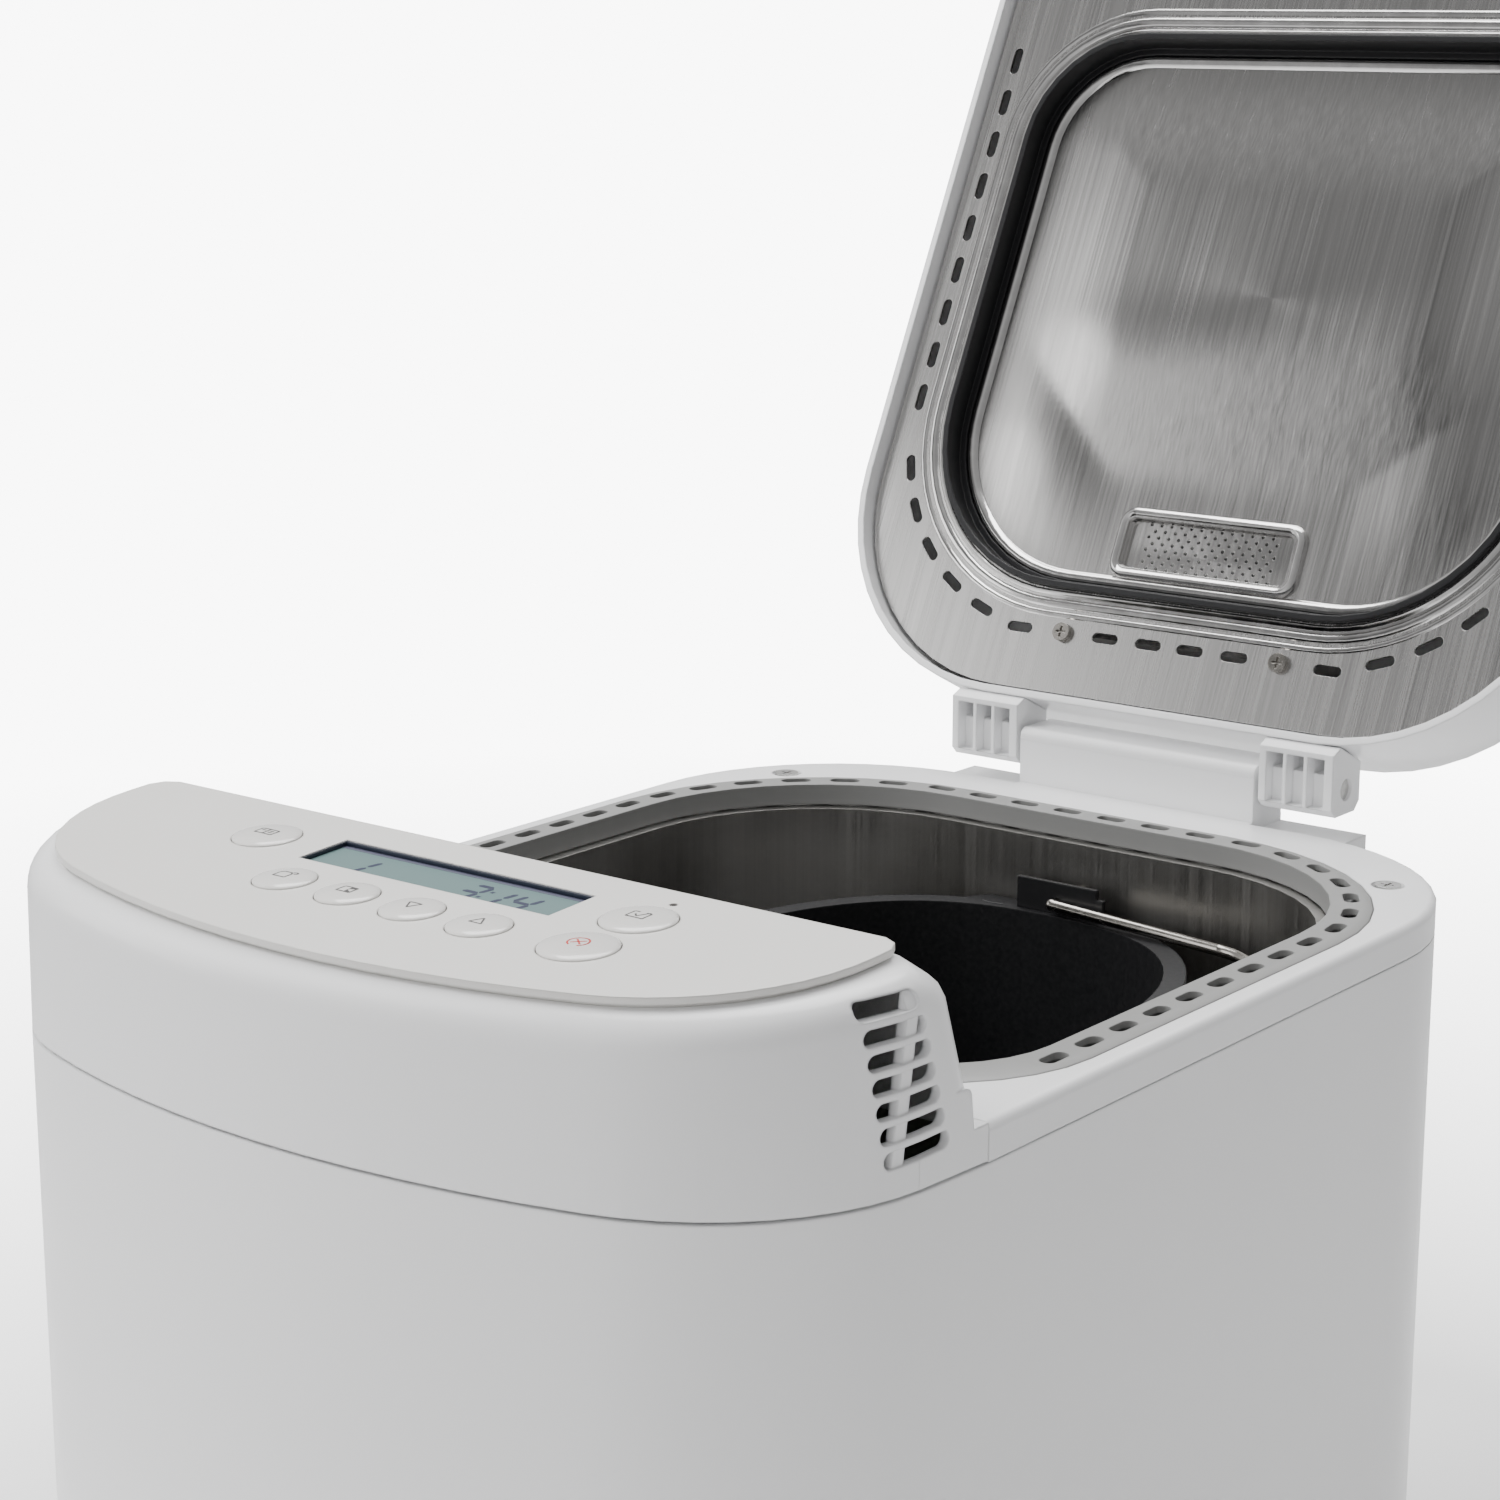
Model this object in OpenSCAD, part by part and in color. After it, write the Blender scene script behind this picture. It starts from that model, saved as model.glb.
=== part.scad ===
/* [Body] */
// Width of the body
body_w = 278; // [270:1:290]
// Height of the flat deck around the baking chamber
deck_z = 286.4; // [284:0.1:290]
// Height of the seam between the lower casing and the upper mouldings
seam_z = 276.4; // [272:0.2:278]
// Wall thickness of the plastic mouldings
wall = 2.5; // [2:0.1:3]

/* [Control panel] */
// Height of the panel's straight back edge
panel_z = 333; // [328:1:338]
// Slope of the panel, down towards the front, in degrees
panel_tilt = 3.4; // [2:0.1:5]
// Thickness of the panel plate
panel_t = 3; // [2.5:0.1:3.5]
// Radius of the four small buttons
button_r = 8.2; // [7:0.1:8.4]
// Distance between the small buttons
button_pitch = 22.2; // [20:0.1:24]

/* [Lid] */
// Angle that the lid stands open
lid_open = 116; // [100:1:120]
// Radius of the hinge pins
hinge_pin_r = 3.5; // [3:0.1:4]
// Height of the lid's crown above its steel liner
lid_crown = 53; // [45:1:60]

/* [Bread pan] */
// Half width of the pan's rim, side to side
rim_a = 81.5; // [78:0.5:84]
// Half length of the pan's rim, front to back
rim_b = 109.5; // [106:0.5:111]
// Height of the seated rim above the table
rim_z = 258; // [250:1:262]
// Depth of the pan from its rim to its underside
pan_h = 145; // [135:1:150]
// Wall thickness of the pan
pan_t = 2; // [1.5:0.1:2.5]

/* [Bail] */
// Radius of the bail wire
wire_r = 1.85; // [1.5:0.05:2]
// Height of the bail's grip above its pivots
bail_h = 87; // [80:1:90]
// Angle of the stowed bail from upright
bail_fold = 91.5; // [88:0.5:92]

/* [Drive] */
// Radius of the drive shafts
shaft_r = 4; // [3.5:0.1:4.5]
// Radius of the large pulley below the chamber
pulley_r = 46; // [40:1:50]
// Radius of the motor's pulley
motor_pulley_r = 9.2; // [8:0.1:11]

/* [Hidden] */
$fa = 4;
$fs = 0.6;
gap = 0.3;
run_gap = 0.05;
half_w = body_w / 2;

// Plan: the places that the rest is measured from
panel_y = -193.5;
front_y = panel_y - 88;
split_y = panel_y + 18;
back_y = panel_y + 303.8;
chamber_y = panel_y + 153.5;
motor_y = panel_y - 27;

// Body outline: radii of its front, its front corners and its back corners
front_r = 300;
corner_r = 68;
back_r = 74.5;

// Panel outline
panel_half = 127.5;
panel_front = panel_y - 81;
panel_front_r = 290;
panel_corner_r = 58;

// Chamber outlines: outer edge of the ring, and the tub inside it
ring_half = 132.2;
ring_front = panel_y + 23;
ring_back = panel_y + 283.5;
ring_front_r = 50;
ring_back_r = 83;
tub_inset = 16;
tub_floor = 95;
sheet = 1;

// Lid: places with the lid closed
hinge_y = panel_y + 313;
hinge_z = panel_z - 33;
liner_z = panel_z - 39;
lip_z = deck_z + 2.4;
lid_back = panel_y + 302;
lid_half = 137;
lid_back_r = 73;
lean = 0.33;
wall_back = panel_y + 2.5;
lid_front_low = wall_back + 1.4 + lean * (panel_z - liner_z);
slot_inset = 25;
recess_d = 8;
arm_in = 46.5;
arm_out = 73;
arm_r = 9.5;

// Pan
pan_n = 2.5;
rim_w = 4.5;
pan_taper = 7;
pan_floor = rim_z - pan_h;
pivot_z = rim_z + 3.6;
plate_y = rim_b - 2.5;
plate_t = 1.6;
leg_y = plate_y - 4;

// Drive line heights
chassis_z = 62;
belt_z = 44;
belt_h = 9;

// ---- Outlines ----

// Points along an arc
function arc(cx, cy, r, a0, a1, n = 10) =
    [for (i = [0 : n]) let (a = a0 + (a1 - a0) * i / n) [cx + r * cos(a), cy + r * sin(a)]];

// Height of the corner centres where a wide front arc runs into its corner arcs
function corner_y(half, front, fr, cr) = front + fr - sqrt(pow(fr - cr, 2) - pow(half - cr, 2));

// Angle at which the corner arc meets the front arc
function meet_a(half, fr, cr) = asin((half - cr) / (fr - cr));

// Curved front, from its right end to its left end, drawn in by e
function bow(half, front, fr, cr, e = 0) =
    let (cy = corner_y(half, front, fr, cr), m = meet_a(half, fr, cr))
    concat(arc(cr - half, cy, cr - e, 180, 270 - m, 10),
        arc(0, front + fr, fr - e, 270 - m, 270 + m, 12),
        arc(half - cr, cy, cr - e, 270 + m, 360, 10));

// Rounded back, from its right side to its left side, drawn in by e
function stern(half, back, r, e = 0) =
    concat(arc(half - r, back - r, r - e, 0, 90, 12), arc(r - half, back - r, r - e, 90, 180, 12));

// Whole body outline, drawn in by e
function body_pts(e = 0) =
    concat(bow(half_w, front_y, front_r, corner_r, e), stern(half_w, back_y, back_r, e));

// Rounded four-sided outline with its own front and back corner radii, drawn in by e
function tub_pts(half, front, back, fr, br, e = 0) =
    concat(arc(fr - half, front + fr, fr - e, 180, 270, 8), arc(half - fr, front + fr, fr - e, 270, 360, 8),
        arc(half - br, back - br, br - e, 0, 90, 10), arc(br - half, back - br, br - e, 90, 180, 10));

function ring_pts(e = 0) = tub_pts(ring_half, ring_front, ring_back, ring_front_r, ring_back_r, e);

// Superellipse with half axes a and b about the chamber's centre
function egg(a, b, n = pan_n, steps = 72) =
    [for (i = [0 : steps - 1]) let (t = 360 * i / steps, c = cos(t), s = sin(t))
        [a * sign(c) * pow(abs(c), 2 / n), chamber_y + b * sign(s) * pow(abs(s), 2 / n)]];

module slab(pts, z0, z1) {
    translate([0, 0, z0])
        linear_extrude(z1 - z0)
            polygon(pts);
}

module tube(outer, inner, z0, z1) {
    translate([0, 0, z0])
        linear_extrude(z1 - z0)
            difference() {
                polygon(outer);
                polygon(inner);
            }
}

// Closed block through outlines with equal numbers of points, each given as [points, height]
module loft(levels) {
    n = len(levels[0][0]);
    m = len(levels);
    polyhedron(
        points = [for (l = levels, p = l[0]) [p[0], p[1], l[1]]],
        faces = concat([[for (j = [0 : n - 1]) j]], [[for (j = [n - 1 : -1 : 0]) (m - 1) * n + j]],
            [for (i = [0 : m - 2], j = [0 : n - 1]) let (a = i * n + j, b = i * n + (j + 1) % n)
                each [[a, a + n, b + n], [a, b + n, b]]]));
}

// Rectangle with rounded corners, centred
module round_rect(w, d, r) {
    hull()
        for (x = [-1, 1], y = [-1, 1])
            translate([x * (w / 2 - r), y * (d / 2 - r)])
                circle(r = r, $fn = 32);
}

module ring(r_out, r_in, z0, z1) {
    translate([0, 0, z0])
        difference() {
            cylinder(r = r_out, h = z1 - z0);
            translate([0, 0, -1])
                cylinder(r = r_in, h = z1 - z0 + 2);
        }
}

// Round-ended slot lying along X, centred, cut through from z0 up
module slot(length, width, z0, h) {
    translate([0, 0, z0])
        linear_extrude(h) {
            square([length - width, width], center = true);
            for (s = [-1, 1])
                translate([s * (length - width) / 2, 0])
                    circle(d = width);
        }
}

// Round rod between two points in a plane across the width, for bent wire
module rod(a, b, r) {
    d = b - a;
    translate(a)
        rotate([0, acos(d[2] / norm(d)), atan2(d[1], d[0])])
            cylinder(r = r, h = norm(d));
}

// Frame lying on the panel's top: x across, y back from the panel's back edge, z off its surface
module on_panel() {
    translate([0, panel_y, panel_z])
        rotate([panel_tilt, 0, 0])
            children();
}

// Frame of a lid that is drawn closed and stands open
module opened() {
    translate([0, hinge_y, hinge_z])
        rotate([-lid_open, 0, 0])
            translate([0, -hinge_y, -hinge_z])
                children();
}

module at_drive() { translate([0, chamber_y, 0]) children(); }
module at_motor() { translate([0, motor_y, 0]) children(); }

// Space below the seam, which rises a little towards the front
seam_rise = 4;
module below_seam(z_gap) {
    rotate([90, 0, 90])
        translate([0, 0, -200])
            linear_extrude(400)
                polygon([[front_y - 10, -10], [back_y + 60, -10], [back_y + 60, seam_z - z_gap],
                    [split_y, seam_z - z_gap], [front_y - 10, seam_z + seam_rise - z_gap]]);
}

// ---- Base and casing ----

foot_places = [for (x = [-1, 1], y = [front_y + 62, back_y - 42]) [x * 92, y]];
post_places = [for (x = [-1, 1], y = [-1, 1]) [x * 88, chamber_y + y * 84]];
tray_z = 6;

module base_tray() {
    color("gainsboro") {
        difference() {
            union() {
                slab(body_pts(wall + gap), tray_z, tray_z + wall);
                tube(body_pts(wall + gap), body_pts(2 * wall + gap), tray_z + wall, 26);
                for (p = post_places)
                    translate([p[0], p[1], tray_z + 1])
                        cylinder(r = 7, h = chassis_z - tray_z - 1);
                at_motor()
                    for (x = [-1, 1])
                        translate([x * 46, 0, tray_z + 1])
                            cylinder(r = 6, h = chassis_z - tray_z - 1);
            }
            for (p = foot_places)
                translate([p[0], p[1], tray_z - 1])
                    cylinder(r = 2, h = 10);
            for (i = [-3 : 3])
                translate([0, chamber_y + i * 14, tray_z - 1])
                    slot(70, 5, 0, 10);
        }
    }
}

module feet() {
    color("dimgray")
        for (p = foot_places)
            translate([p[0], p[1], 0])
                rotate_extrude()
                    polygon([[0, 0.6], [3.6, 0.6], [3.6, 0], [8.4, 0], [9.4, 1], [10, tray_z], [1.85, tray_z],
                    [1.85, 2.2], [0, 2.2]]);
}

// Countersunk screw with its head's top at the origin and its shank down
module screw(r = 3, len = 10) {
    difference() {
        union() {
            translate([0, 0, -1.8])
                cylinder(r = r, h = 1.8);
            translate([0, 0, -len])
                cylinder(r = r * 0.5, h = len - 1);
        }
        for (a = [0, 90])
            rotate(a)
                translate([-r * 0.6, -0.4, -0.9])
                    cube([r * 1.2, 0.8, 2]);
    }
}

module base_screws() {
    color("silver")
        for (p = foot_places)
            translate([p[0], p[1], tray_z + wall + 1.8])
                screw(3.6, 8);
}

module lower_casing() {
    color("whitesmoke")
        difference() {
            intersection() {
                tube(body_pts(0), body_pts(wall), 8, seam_z + 8);
                below_seam(0.4);
            }
            translate([0, back_y, 60])
                rotate([90, 0, 0])
                    cylinder(r = 9.1, h = 20, center = true);
            for (i = [-3 : 3])
                translate([i * 9, back_y, 110])
                    rotate([90, 90, 0])
                        slot(34, 4.4, -10, 20);
        }
}

// ---- Upper mouldings ----

deck_t = 2.5;
edge_r = 2.4;
deck_screw_at = [114, panel_y + 264.5];
hinge_box_back = panel_y + 322.2;
function deck_pts(e = 0) =
    concat([[half_w - e, split_y + 0.2]], stern(half_w, back_y, back_r, e), [[e - half_w, split_y + 0.2]]);
pin_reach = [24, arm_out - 1];

module hinge_base() {
    translate([-76, back_y + 0.2, deck_z - 25])
        cube([152, hinge_box_back - back_y - 0.2, 22.5]);
    translate([-76, back_y - 1, seam_z + 0.4])
        cube([152, 10, deck_z - edge_r - 0.1 - seam_z - 0.4]);
    translate([-arm_in + 1.5, back_y - 6, deck_z - 5])
        cube([2 * arm_in - 3, hinge_box_back - back_y + 6, 5]);
    translate([-arm_in + 1.5, hinge_y - 9, deck_z - 1]) {
        cube([2 * arm_in - 3, 18, hinge_z + 2 - deck_z]);
        translate([0, 3, 0])
            cube([2 * arm_in - 3, 15, hinge_z + 6 - deck_z]);
        translate([0, 3, hinge_z + 3 - deck_z])
            rotate([0, 90, 0])
                cylinder(r = 3, h = 2 * arm_in - 3);
    }
}

module top_frame() {
    inner = concat([[half_w - wall, split_y - 5]], stern(half_w, back_y, back_r, wall),
        [[wall - half_w, split_y - 5]]);
    color("whitesmoke")
        difference() {
            union() {
                loft([for (a = [0 : 18 : 90])
                    [deck_pts(edge_r - edge_r * cos(a)), deck_z - edge_r + edge_r * sin(a)]]);
                tube(deck_pts(), inner, seam_z, deck_z - edge_r + 0.1);
                tube(ring_pts(-2), ring_pts(4), deck_z - 5, deck_z - deck_t + 0.5);
                hinge_base();
            }
            slab(ring_pts(-gap), deck_z - 3.2, deck_z + 1);
            slab(ring_pts(4), deck_z - 20, deck_z + 1);
            translate([-73, back_y + 2.7, deck_z - 28])
                cube([146, hinge_box_back - back_y - 5.2, 23]);
            slab(stern(half_w, back_y, back_r, wall), deck_z - 40, deck_z - 5.5);
            for (s = [-1, 1])
                translate([s * deck_screw_at[0], deck_screw_at[1], deck_z - 1.6])
                    cylinder(r = 5, h = 3);
            for (s = [-1, 1])
                translate([s * deck_screw_at[0], deck_screw_at[1], deck_z - 6])
                    cylinder(r = 2, h = 8);
            for (s = [-1, 1])
                translate([s * pin_reach[0], hinge_y, hinge_z])
                    rotate([0, s * 90, 0])
                        cylinder(r = hinge_pin_r, h = 60);
        }
}

module hinge_pins() {
    color("silver")
        for (s = [-1, 1])
            translate([s * pin_reach[0], hinge_y, hinge_z])
                rotate([0, s * 90, 0])
                    cylinder(r = hinge_pin_r, h = pin_reach[1] - pin_reach[0]);
}

module deck_screws() {
    color("silver")
        for (s = [-1, 1])
            translate([s * deck_screw_at[0], deck_screw_at[1], deck_z + 0.2])
                screw(4, 5);
}

// Closed block under the panel, drawn in by e: a bowed front, leaning back wall and rounded shoulder
shoulder_r = 9;
function housing_pts(e, in, z) =
    let (yb = wall_back + lean * (panel_z - z) - e - min(in, 3), r = 10 - e)
    concat(bow(half_w, front_y, front_r, corner_r, e + in),
        arc(half_w - 10 - in, yb - r, r, 0, 90, 5), arc(10 + in - half_w, yb - r, r, 90, 180, 5));

module housing_block(e, bottom) {
    hull() {
        for (a = [0 : 18 : 90]) {
            drop = shoulder_r - shoulder_r * sin(a);
            on_panel()
                translate([0, -panel_y, -panel_t - 0.03 - e - drop])
                    linear_extrude(0.02)
                        polygon(housing_pts(e, shoulder_r - shoulder_r * cos(a), panel_z - drop));
        }
        slab(housing_pts(e, 0, bottom), bottom, bottom + 0.02);
    }
}

// Centre of a vent slot: row r from the top
vent_rows = 7;
module vent_cuts() {
    for (r = [0 : vent_rows - 1])
        for (s = [-1, 1]) {
            z = panel_z - 9 - 6.1 * r;
            y0 = panel_y - 29.2 + 1.2 * r;
            y1 = panel_y - 10 + 1.95 * r;
            translate([s * half_w, (y0 + y1) / 2, z])
                rotate([0, 90, 0])
                    rotate(90)
                        slot(y1 - y0, 4.4, -16, 32);
        }
}

// Upright rib behind each row of vent slots
module vent_ribs() {
    for (s = [-1, 1])
        translate([s * (half_w - 2), panel_y - 17.2, panel_z - 48])
            rotate([-8, 0, 0])
                cube([3.4, 4, 88], center = true);
}

// Side view of the tab behind each end of the panel, with its rear corner rounded
tab_pts = [[0, 0], [12, 0], [12, 12], [3.4, 12], [2, 11.4], [1.2, 10.2]];

module front_housing() {
    color("whitesmoke")
        difference() {
            union() {
                difference() {
                    union() {
                        housing_block(0, seam_z - 1);
                        for (s = [-1, 1])
                            translate([s * (half_w - 5) - 5, split_y - 28, seam_z - 1])
                                cube([10, 28, deck_z - seam_z + 1]);
                        for (s = [-1, 1])
                            translate([s * (half_w - 4.5), split_y - 6, deck_z - 1])
                                rotate([90, 0, -90])
                                    linear_extrude(9, center = true)
                                        polygon(tab_pts);
                    }
                    housing_block(wall, seam_z - 2);
                    translate([wall - half_w, split_y - 30, seam_z - 2])
                        cube([2 * (half_w - wall), 40, deck_z - seam_z - 0.5]);
                    vent_cuts();
                }
                intersection() {
                    housing_block(0.6, seam_z - 1);
                    vent_ribs();
                }
            }
            below_seam(-0.4);
            translate([-200, split_y, seam_z - 10])
                cube([400, 40, 40]);
            on_panel()
                slab([for (p = concat(bow(panel_half, panel_front, panel_front_r, panel_corner_r, 7),
                        [[panel_half - 7, panel_y - 2], [7 - panel_half, panel_y - 2]]))
                    [p[0], p[1] - panel_y - 3]], -20, 5);
        }
}

// ---- Control panel ----

lcd_x = [-42.1, 43.8];
lcd_y = [-30.9, -13.4];
big_buttons = [["menu", -62.5, -22.7, 9.2], ["stop", 65.2, -44.2, 10], ["start", 64.5, -21.8, 9.7]];
row_x = -31.7;
row_y = -45.7;
led_place = [64.2, -8.4];
board_low = -16;
button_places = concat([for (b = big_buttons) [b[1], b[2], b[3]]],
    [for (i = [0 : 3]) [row_x + i * button_pitch, row_y, button_r]]);

panel_step = 1.1;
module panel_outline(e = 0) {
    polygon([for (p = concat(bow(panel_half, panel_front, panel_front_r, panel_corner_r, e),
            [[panel_half - e, panel_y - 6], [panel_half - 2 - e, panel_y - 2 - e / 2],
                [panel_half - 6, panel_y - e / 2],
                [6 - panel_half, panel_y - e / 2], [e + 2 - panel_half, panel_y - 2 - e / 2],
                [e - panel_half, panel_y - 6]])) [p[0], p[1] - panel_y]]);
}

module control_panel() {
    color([0.86, 0.84, 0.81])
        on_panel()
            difference() {
                union() {
                    translate([0, 0, panel_step - panel_t])
                        linear_extrude(panel_t - panel_step)
                            panel_outline();
                    translate([0, 0, -panel_t])
                        linear_extrude(panel_step + 0.1)
                            panel_outline(1.6);
                    for (x = [-1, 1], y = [-56, -9])
                        translate([x * 82, y, board_low + 1.6])
                            cylinder(r = 2.5, h = -board_low - 3);
                }
                translate([lcd_x[0], lcd_y[0], -panel_t - 1])
                    cube([lcd_x[1] - lcd_x[0], lcd_y[1] - lcd_y[0], panel_t + 2]);
                for (b = button_places)
                    translate([b[0], b[1], -panel_t - 1])
                        cylinder(r = b[2] + gap, h = panel_t + 2);
                translate([led_place[0], led_place[1], -panel_t - 1])
                    cylinder(r = 1.1, h = panel_t + 2);
            }
}

module lcd_window() {
    color([0.62, 0.74, 0.76, 0.5])
        on_panel()
            translate([lcd_x[0] + 0.1, lcd_y[0] + 0.1, -panel_t])
                cube([lcd_x[1] - lcd_x[0] - 0.2, lcd_y[1] - lcd_y[0] - 0.2, 1.6]);
}

module lcd_module() {
    color("darkslategray")
        on_panel()
            translate([lcd_x[0] - 3, lcd_y[0] - 3, -panel_t - 6])
                cube([lcd_x[1] - lcd_x[0] + 6, lcd_y[1] - lcd_y[0] + 6, 5.8]);
}

module control_board() {
    color("darkgreen")
        on_panel()
            translate([-86, -62, board_low])
                cube([172, 58, 1.6]);
}

module tact_switches() {
    color("black")
        on_panel()
            for (b = button_places)
                translate([b[0], b[1], board_low + 1.6]) {
                    translate([-3, -3, 0])
                        cube([6, 6, 3.4]);
                    cylinder(r = 1.7, h = 4.6);
                }
}

module status_led() {
    color("orangered")
        on_panel()
            translate([led_place[0], led_place[1], board_low + 1.6])
                cylinder(r = 1, h = -board_low - 1.8);
}

// Domed key: cap through the panel, flange below it and a stem down to its switch
module button(x, y, r) {
    color([0.86, 0.84, 0.81])
        on_panel()
            translate([x, y, 0])
                rotate_extrude()
                    polygon(concat([[0, -8.2], [2.2, -8.2], [2.2, -5.2], [r + 1.2, -5.2],
                        [r + 1.2, -4.2], [r, -4.2], [r, 0.2]],
                        [for (i = [1 : 6]) [r * cos(i * 15), 0.2 + 1.2 * sin(i * 15)]]));
}

module row_button(i) { button(row_x + i * button_pitch, row_y, button_r); }
module big_button(i) { button(big_buttons[i][1], big_buttons[i][2], big_buttons[i][3]); }
module button_menu() { big_button(0); }
module button_stop() { big_button(1); }
module button_start() { big_button(2); }
module button_size() { row_button(0); }
module button_crust() { row_button(1); }
module button_timer_down() { row_button(2); }
module button_timer_up() { row_button(3); }

// ---- Baking chamber ----

side_slots = 9;
side_pitch = 16.2;
side_first = panel_y + 65.7;
corner_slots = 6;
back_slots = 8;
back_pitch = 16.6;

// Air slots along the ring's sides, round its back corners and across its back
module ring_slots() {
    mid = 6.2;
    for (s = [-1, 1]) {
        for (i = [0 : side_slots - 1])
            translate([s * (ring_half - mid), side_first + i * side_pitch, 0])
                rotate(90)
                    slot(10, 4.6, deck_z - 8, 10);
        for (i = [0 : corner_slots - 1])
            translate([s * (ring_half - ring_back_r), ring_back - ring_back_r, 0])
                rotate(s * (8.6 + i * 12.35 - 90))
                    translate([0, ring_back_r - mid, 0])
                        slot(10, 4.6, deck_z - 8, 10);
    }
    for (i = [0 : back_slots - 1])
        translate([(i - (back_slots - 1) / 2) * back_pitch, ring_back - mid, 0])
            slot(10, 4.6, deck_z - 8, 10);
}

module chamber_ring() {
    color("darkgray")
        difference() {
            union() {
                difference() {
                    loft([[ring_pts(0), deck_z - 3.2], [ring_pts(0), deck_z], [ring_pts(1.9), deck_z + 0.8]]);
                    slab(ring_pts(12.4), deck_z - 4, deck_z + 2);
                    slab(ring_pts(2), deck_z - 4, deck_z - 1.2);
                }
                tube(ring_pts(11), ring_pts(12.4), deck_z - 6, deck_z - 1);
            }
            ring_slots();
        }
}

module baking_chamber() {
    color("silver")
        difference() {
            union() {
                tube(ring_pts(tub_inset - 1), ring_pts(tub_inset), tub_floor, deck_z - 6.5);
                tube(ring_pts(9), ring_pts(tub_inset), deck_z - 7.5, deck_z - 6.5);
                slab(ring_pts(tub_inset - 0.5), tub_floor, tub_floor + sheet);
            }
            at_drive()
                translate([0, 0, tub_floor - 1])
                    cylinder(r = 11.3, h = 4);
            for (x = heater_leads)
                translate([x, ring_front + tub_inset, heater_z])
                    rotate([90, 0, 0])
                        cylinder(r = 3.8, h = 12, center = true);
            translate([58, ring_front + tub_inset, 160])
                rotate([90, 0, 0])
                    cylinder(r = 3.1, h = 12, center = true);
        }
}

heater_z = 128;
heater_r = 3.3;
heater_half = [105, 108.5];
heater_bend = 56;
heater_leads = [-44, -28];
clip_reach = ring_half - tub_inset - heater_half[0];

module heating_element() {
    bx = heater_half[0] - heater_bend;
    by = heater_half[1] - heater_bend;
    color("dimgray")
        translate([0, chamber_y, heater_z]) {
            for (x = [-1, 1])
                translate([x * heater_half[0], -by, 0])
                    rotate([-90, 0, 0])
                        cylinder(r = heater_r, h = 2 * by);
            translate([-bx, heater_half[1], 0])
                rotate([0, 90, 0])
                    cylinder(r = heater_r, h = 2 * bx);
            translate([heater_leads[1], -heater_half[1], 0])
                rotate([0, 90, 0])
                    cylinder(r = heater_r, h = bx - heater_leads[1]);
            translate([-bx, -heater_half[1], 0])
                rotate([0, 90, 0])
                    cylinder(r = heater_r, h = bx + heater_leads[0]);
            for (q = [[1, 1, 0], [-1, 1, 90], [-1, -1, 180], [1, -1, 270]])
                translate([q[0] * bx, q[1] * by, 0])
                    rotate([0, 0, q[2]])
                        rotate_extrude(angle = 90)
                            translate([heater_bend, 0])
                                circle(r = heater_r);
            for (x = heater_leads) {
                translate([x, -heater_half[1] - 20, 0])
                    rotate([-90, 0, 0])
                        cylinder(r = heater_r, h = 20);
                translate([x, -heater_half[1], 0])
                    sphere(r = heater_r);
            }
        }
}

module heater_clips() {
    color("silver")
        for (sx = [-1, 1], sy = [-1, 1])
            translate([sx * heater_half[0], chamber_y + sy * 40, heater_z])
                difference() {
                    union() {
                        translate([-5.2, -5, -6])
                            cube([10.4, 10, 2]);
                        translate([sx > 0 ? 3.8 : -clip_reach, -5, -6])
                            cube([clip_reach - 3.8, 10, 12]);
                    }
                    rotate([90, 0, 0])
                        cylinder(r = heater_r + 0.1, h = 20, center = true);
                }
}

module temperature_sensor() {
    color("silver")
        translate([58, ring_front + tub_inset, 160])
            rotate([90, 0, 0]) {
                translate([0, 0, -9])
                    cylinder(r = 3, h = 22);
                translate([0, 0, 1.2])
                    cylinder(r = 6, h = 2);
            }
}

module pan_socket() {
    color("silver")
        at_drive()
            difference() {
                union() {
                    ring(48, 36.5, tub_floor + sheet, tub_floor + sheet + 2);
                    ring(41, 36.5, tub_floor + sheet, pan_floor - 2.6);
                }
                for (a = [0, 180])
                    rotate(a)
                        translate([0, -7, 103])
                            cube([60, 14, 10]);
                for (a = [30 : 120 : 270])
                    rotate(a)
                        translate([44.6, 0, tub_floor])
                            cylinder(r = 1.6, h = 6);
            }
}

module socket_screws() {
    color("silver")
        at_drive()
            for (a = [30 : 120 : 270])
                rotate(a)
                    translate([44.6, 0, tub_floor + sheet + 3.8])
                        screw(2.8, 3.6);
}

// ---- Chassis and drive ----

module chassis_plate() {
    color("silver")
        difference() {
            union() {
                translate([-104, chamber_y - 100, chassis_z])
                    cube([208, 200, 2]);
                translate([-60, motor_y - 40, chassis_z])
                    cube([120, chamber_y - motor_y - 50, 2]);
                for (p = post_places)
                    translate([p[0], p[1], chassis_z])
                        cylinder(r = 5, h = tub_floor - chassis_z);
            }
            at_drive()
                translate([0, 0, chassis_z - 1])
                    cylinder(r = 11.2, h = 4);
            at_motor() {
                translate([0, 0, chassis_z - 1])
                    cylinder(r = 14, h = 4);
                for (x = [-1, 1])
                    translate([x * 26, 0, chassis_z - 1])
                        cylinder(r = 2, h = 4);
            }
        }
}

module shaft_bearing() {
    color("goldenrod")
        at_drive()
            difference() {
                union() {
                    translate([0, 0, 58])
                        cylinder(r = 11, h = 37.5);
                    translate([0, 0, chassis_z + 2])
                        cylinder(r = 19, h = 3);
                }
                translate([0, 0, 50])
                    cylinder(r = shaft_r + run_gap, h = 60);
            }
}

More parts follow.
